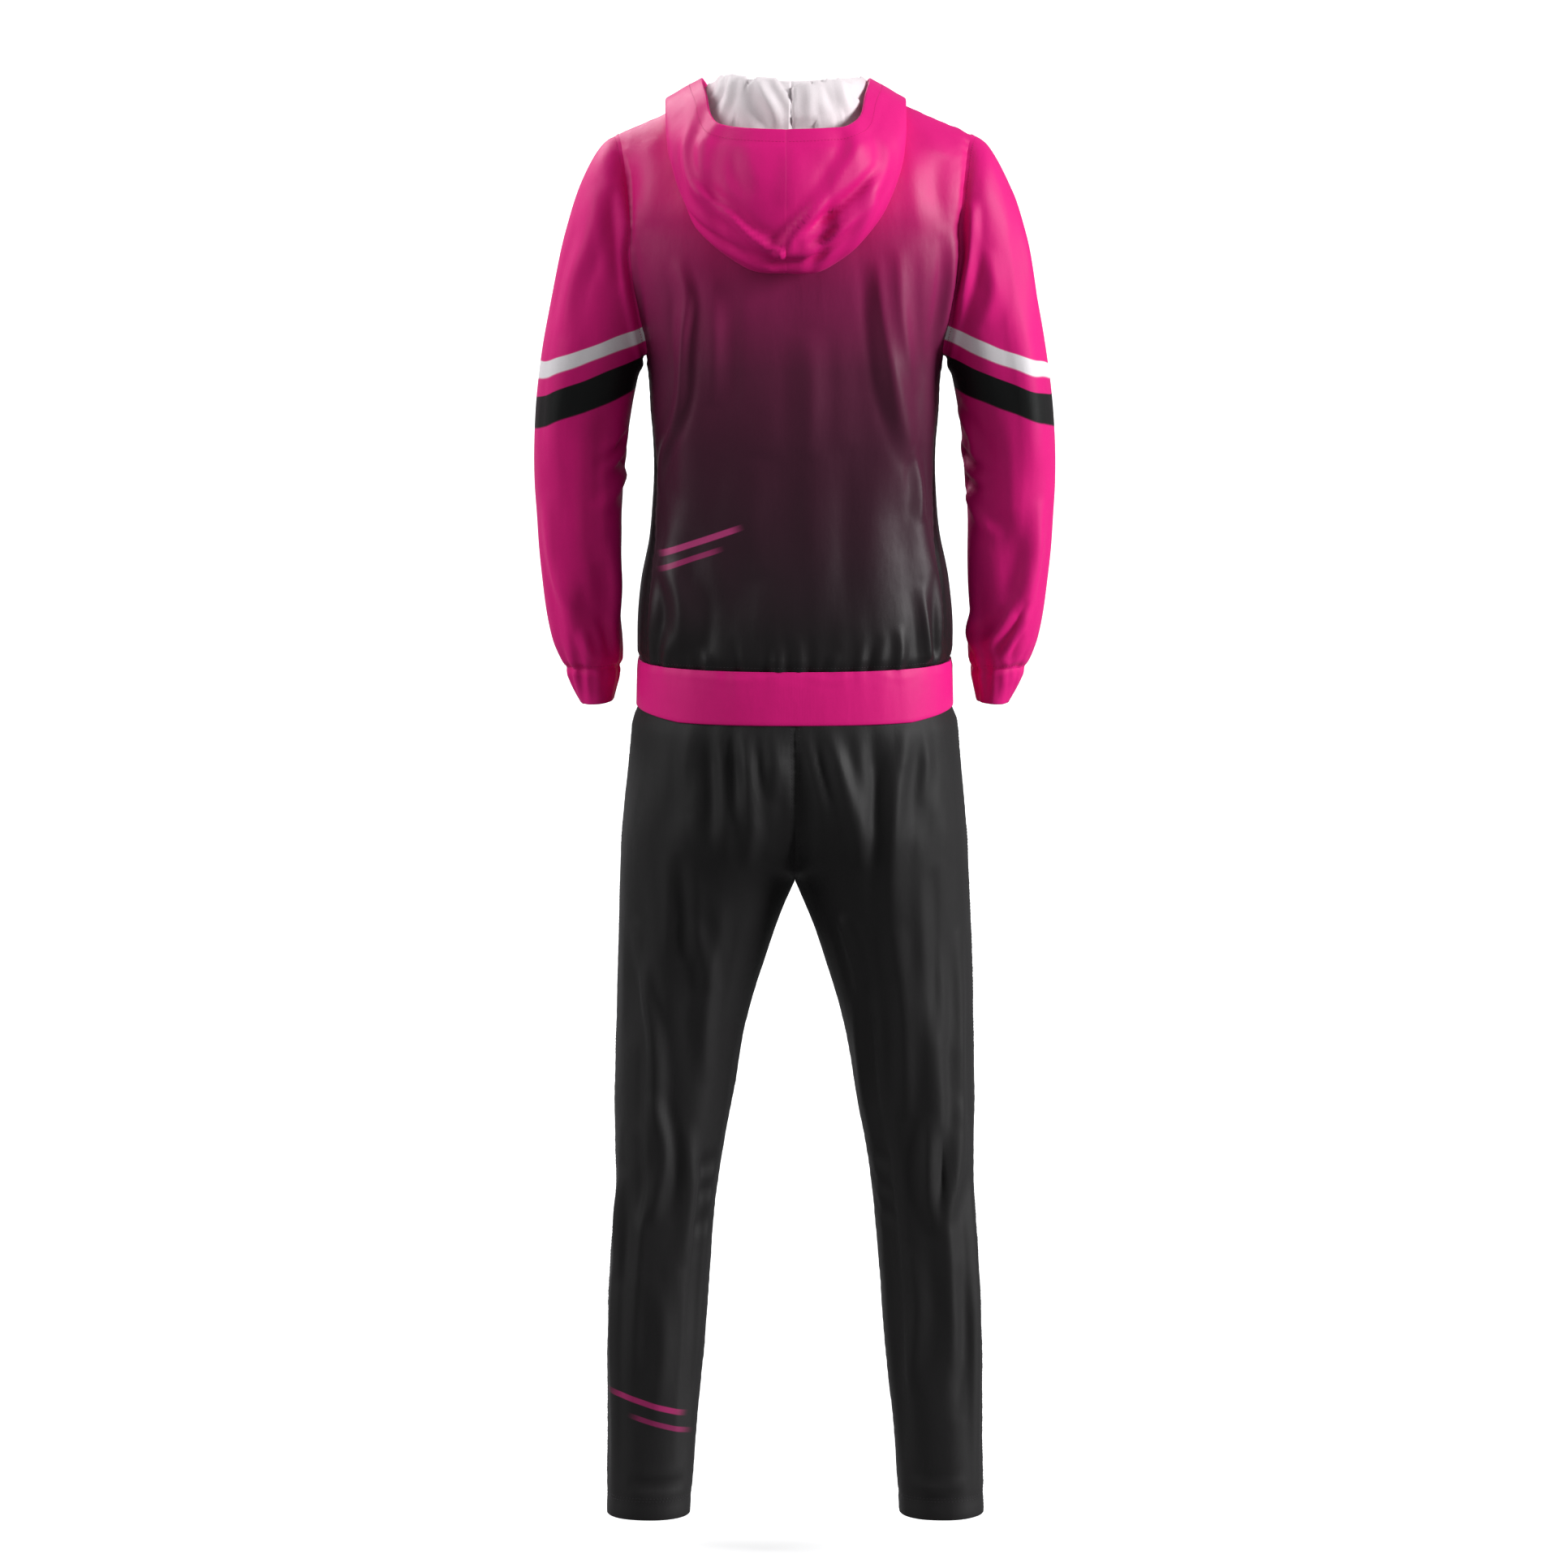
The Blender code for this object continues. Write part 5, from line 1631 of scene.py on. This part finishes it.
shells = [startCloth(hoodPieces, "hood" + label, hoodPanel(side), flip=side < 0) for side, label in sides]
joinSeams(shells, "normal")
layFolds(shells, hoodBackFolds, 1, strength=1.1, rows=slice(8 * hoodRows, None))
rimInset = 0.0140
linings = []
for shell, (side, label) in zip(shells, sides):
    looseness(shell, 0.0010)
    seamPull(shell, ("firstRow",), 0.0008)
    coarse = shell["grid"][::hoodRows, ::hoodColumns]
    lining = startCloth(hoodPieces, "lining" + label, coarse, flip=side < 0)
    lining["grid"] = shell["grid"].copy()
    lining["normal"] = shell["normal"]
    lining["rise"] = shell["rise"] - hoodCloth - seamGap
    linings.append(lining)
    seamPull(shell, ("lastColumn",), 0.0003, 0.003, 0.0002)
    ridge(shell, "lastRow", -0.0006, rimInset, 0.003)

# The lining's folds only sink away from the shell, and its inner layer stands off it in the pouch
liningSink = 0.0035
liningStandOff = 0.0026
before = [lining["rise"].copy() for lining in linings]
inwardFolds = [dict(shape, size=-shape["size"]) for shape in liningFolds]
layFolds(linings, inwardFolds, 1, strength=1.0, rows=slice(0, 7 * hoodRows))
for lining, start in zip(linings, before):
    pressed = lining["rise"] - start
    lining["rise"] = start + np.minimum(pressed - liningSink * (np.abs(pressed) > 1e-6), 0.0)
    ring = (np.arange(len(start)) / hoodRows)[:, None]
    lining["rise"] -= liningStandOff * np.clip(ring - 8.2, 0, 1) * np.clip(ring[-1] - 0.6 - ring, 0, 1)
joinSeams(shells, "rise")
joinSeams(linings, "rise")
for shell, lining in zip(shells, linings):
    settle(shell)
    settle(lining)
    rows, columns = shell["rise"].shape
    move = spreadHood(shell["grid"], (np.arange(rows) / hoodRows)[:, None])
    front = frontEnd + (1 - frontEnd) * smoothShare(np.arange(columns) / frontColumns)
    for grid in (shell["grid"], lining["grid"]):
        grid += move
        grid[:] = grid[:1] + (grid - grid[:1]) * front[None, :, None]
for shell in shells:
    tuckIn(shell, "firstRow", 0.012)
    seamAllowance(shell, ("lastColumn",), 0.0012)
    foldUnder(shell, "lastRow", 0.0017, 7)
    makeCloth(shell)
for lining in linings:
    lining["grid"], lining["normal"] = lining["grid"][2:], lining["normal"][2:]
    seamAllowance(lining, ("lastColumn",), 0.0008, 0.0004)
    makeCloth(lining)
print("hood and lining made")
rimLines = [stitchLine(shell, "lastRow", rimInset) for shell in shells]
sewStitches("hoodRimStitches", rimLines, pinkThread)

# Floor, light and backdrop

studio = {
    "floor": -1.6095, "size": 120.0, "paper": (246, 246, 247), "paperLight": (250, 250, 251),
    "paperGlow": 0.42, "bounce": 0.21, "world": 0.175, "aim": (0, 0, -0.75),
}


def cameraSees(tree, seen, others):
    # Camera rays meet one shader and all other rays another
    mix = tree.nodes.new("ShaderNodeMixShader")
    feed(tree, mix.inputs[0], tree.nodes.new("ShaderNodeLightPath").outputs["Is Camera Ray"])
    feed(tree, mix.inputs[1], others)
    feed(tree, mix.inputs[2], seen)
    return mix.outputs[0]


bpy.ops.object.select_all(action="DESELECT")
bpy.ops.mesh.primitive_plane_add(size=studio["size"], location=(0, 0, 0))
floor = bpy.context.object
floor.name = "studioFloor"
bpy.ops.object.mode_set(mode="EDIT")
bpy.ops.mesh.select_all(action="SELECT")
bpy.ops.transform.translate(value=(0, 0, studio["floor"]))
bpy.ops.object.mode_set(mode="OBJECT")
paper = bpy.data.materials.new("studioPaper")
paper.use_nodes = True
tree = paper.node_tree
shader = tree.nodes["Principled BSDF"]
place = tree.nodes.new("ShaderNodeTexCoord").outputs["Object"]
grain = addNode(tree, "ShaderNodeTexNoise", Vector=place, Scale=3.0).outputs["Fac"]
paperColours = [(0.0, studio["paper"]), (1.0, studio["paperLight"])]
feed(tree, shader.inputs["Base Color"], colourRamp(tree, grain, paperColours))
shader.inputs["Roughness"].default_value = 0.9
shader.inputs["Specular IOR Level"].default_value = 0.1
glow = addNode(tree, "ShaderNodeEmission", Strength=studio["paperGlow"])
bright = tree.nodes.new("ShaderNodeAddShader")
feed(tree, bright.inputs[0], shader.outputs[0])
feed(tree, bright.inputs[1], glow.outputs[0])
dim = addNode(tree, "ShaderNodeBsdfDiffuse", Color=(studio["bounce"],) * 3 + (1.0,))
surface = cameraSees(tree, bright.outputs[0], dim.outputs[0])
feed(tree, tree.nodes["Material Output"].inputs["Surface"], surface)
floor.data.materials.append(paper)

world = bpy.data.worlds.new("studioWorld")
world.use_nodes = True
tree = world.node_tree
sky = tree.nodes["Background"]
sky.inputs["Color"].default_value = (1, 1, 1, 1)
sky.inputs["Strength"].default_value = studio["world"]
whiteSky = addNode(tree, "ShaderNodeBackground", Color=(1, 1, 1, 1), Strength=1.0)
surface = cameraSees(tree, whiteSky.outputs[0], sky.outputs[0])
feed(tree, tree.nodes["World Output"].inputs["Surface"], surface)
bpy.context.scene.world = world

lamps = {
    "keyLamp": {"from": (-6.0, 1.5, 1.3), "strength": 3.6, "angle": 20},
    "sideLamp": {"from": (5.5, 1.3, 2.4), "strength": 1.65, "angle": 40},
    "frontLamp": {"from": (3.0, -5.0, 3.0), "strength": 1.8, "angle": 30},
}
for name, lamp in lamps.items():
    bpy.ops.object.light_add(type="SUN", location=lamp["from"])
    made = bpy.context.object
    made.name = name
    made.rotation_euler = (Vector(studio["aim"]) - Vector(lamp["from"])).to_track_quat("-Z", "Y").to_euler()
    made.data.energy = lamp["strength"]
    made.data.angle = math.radians(lamp["angle"])
print("studio set")
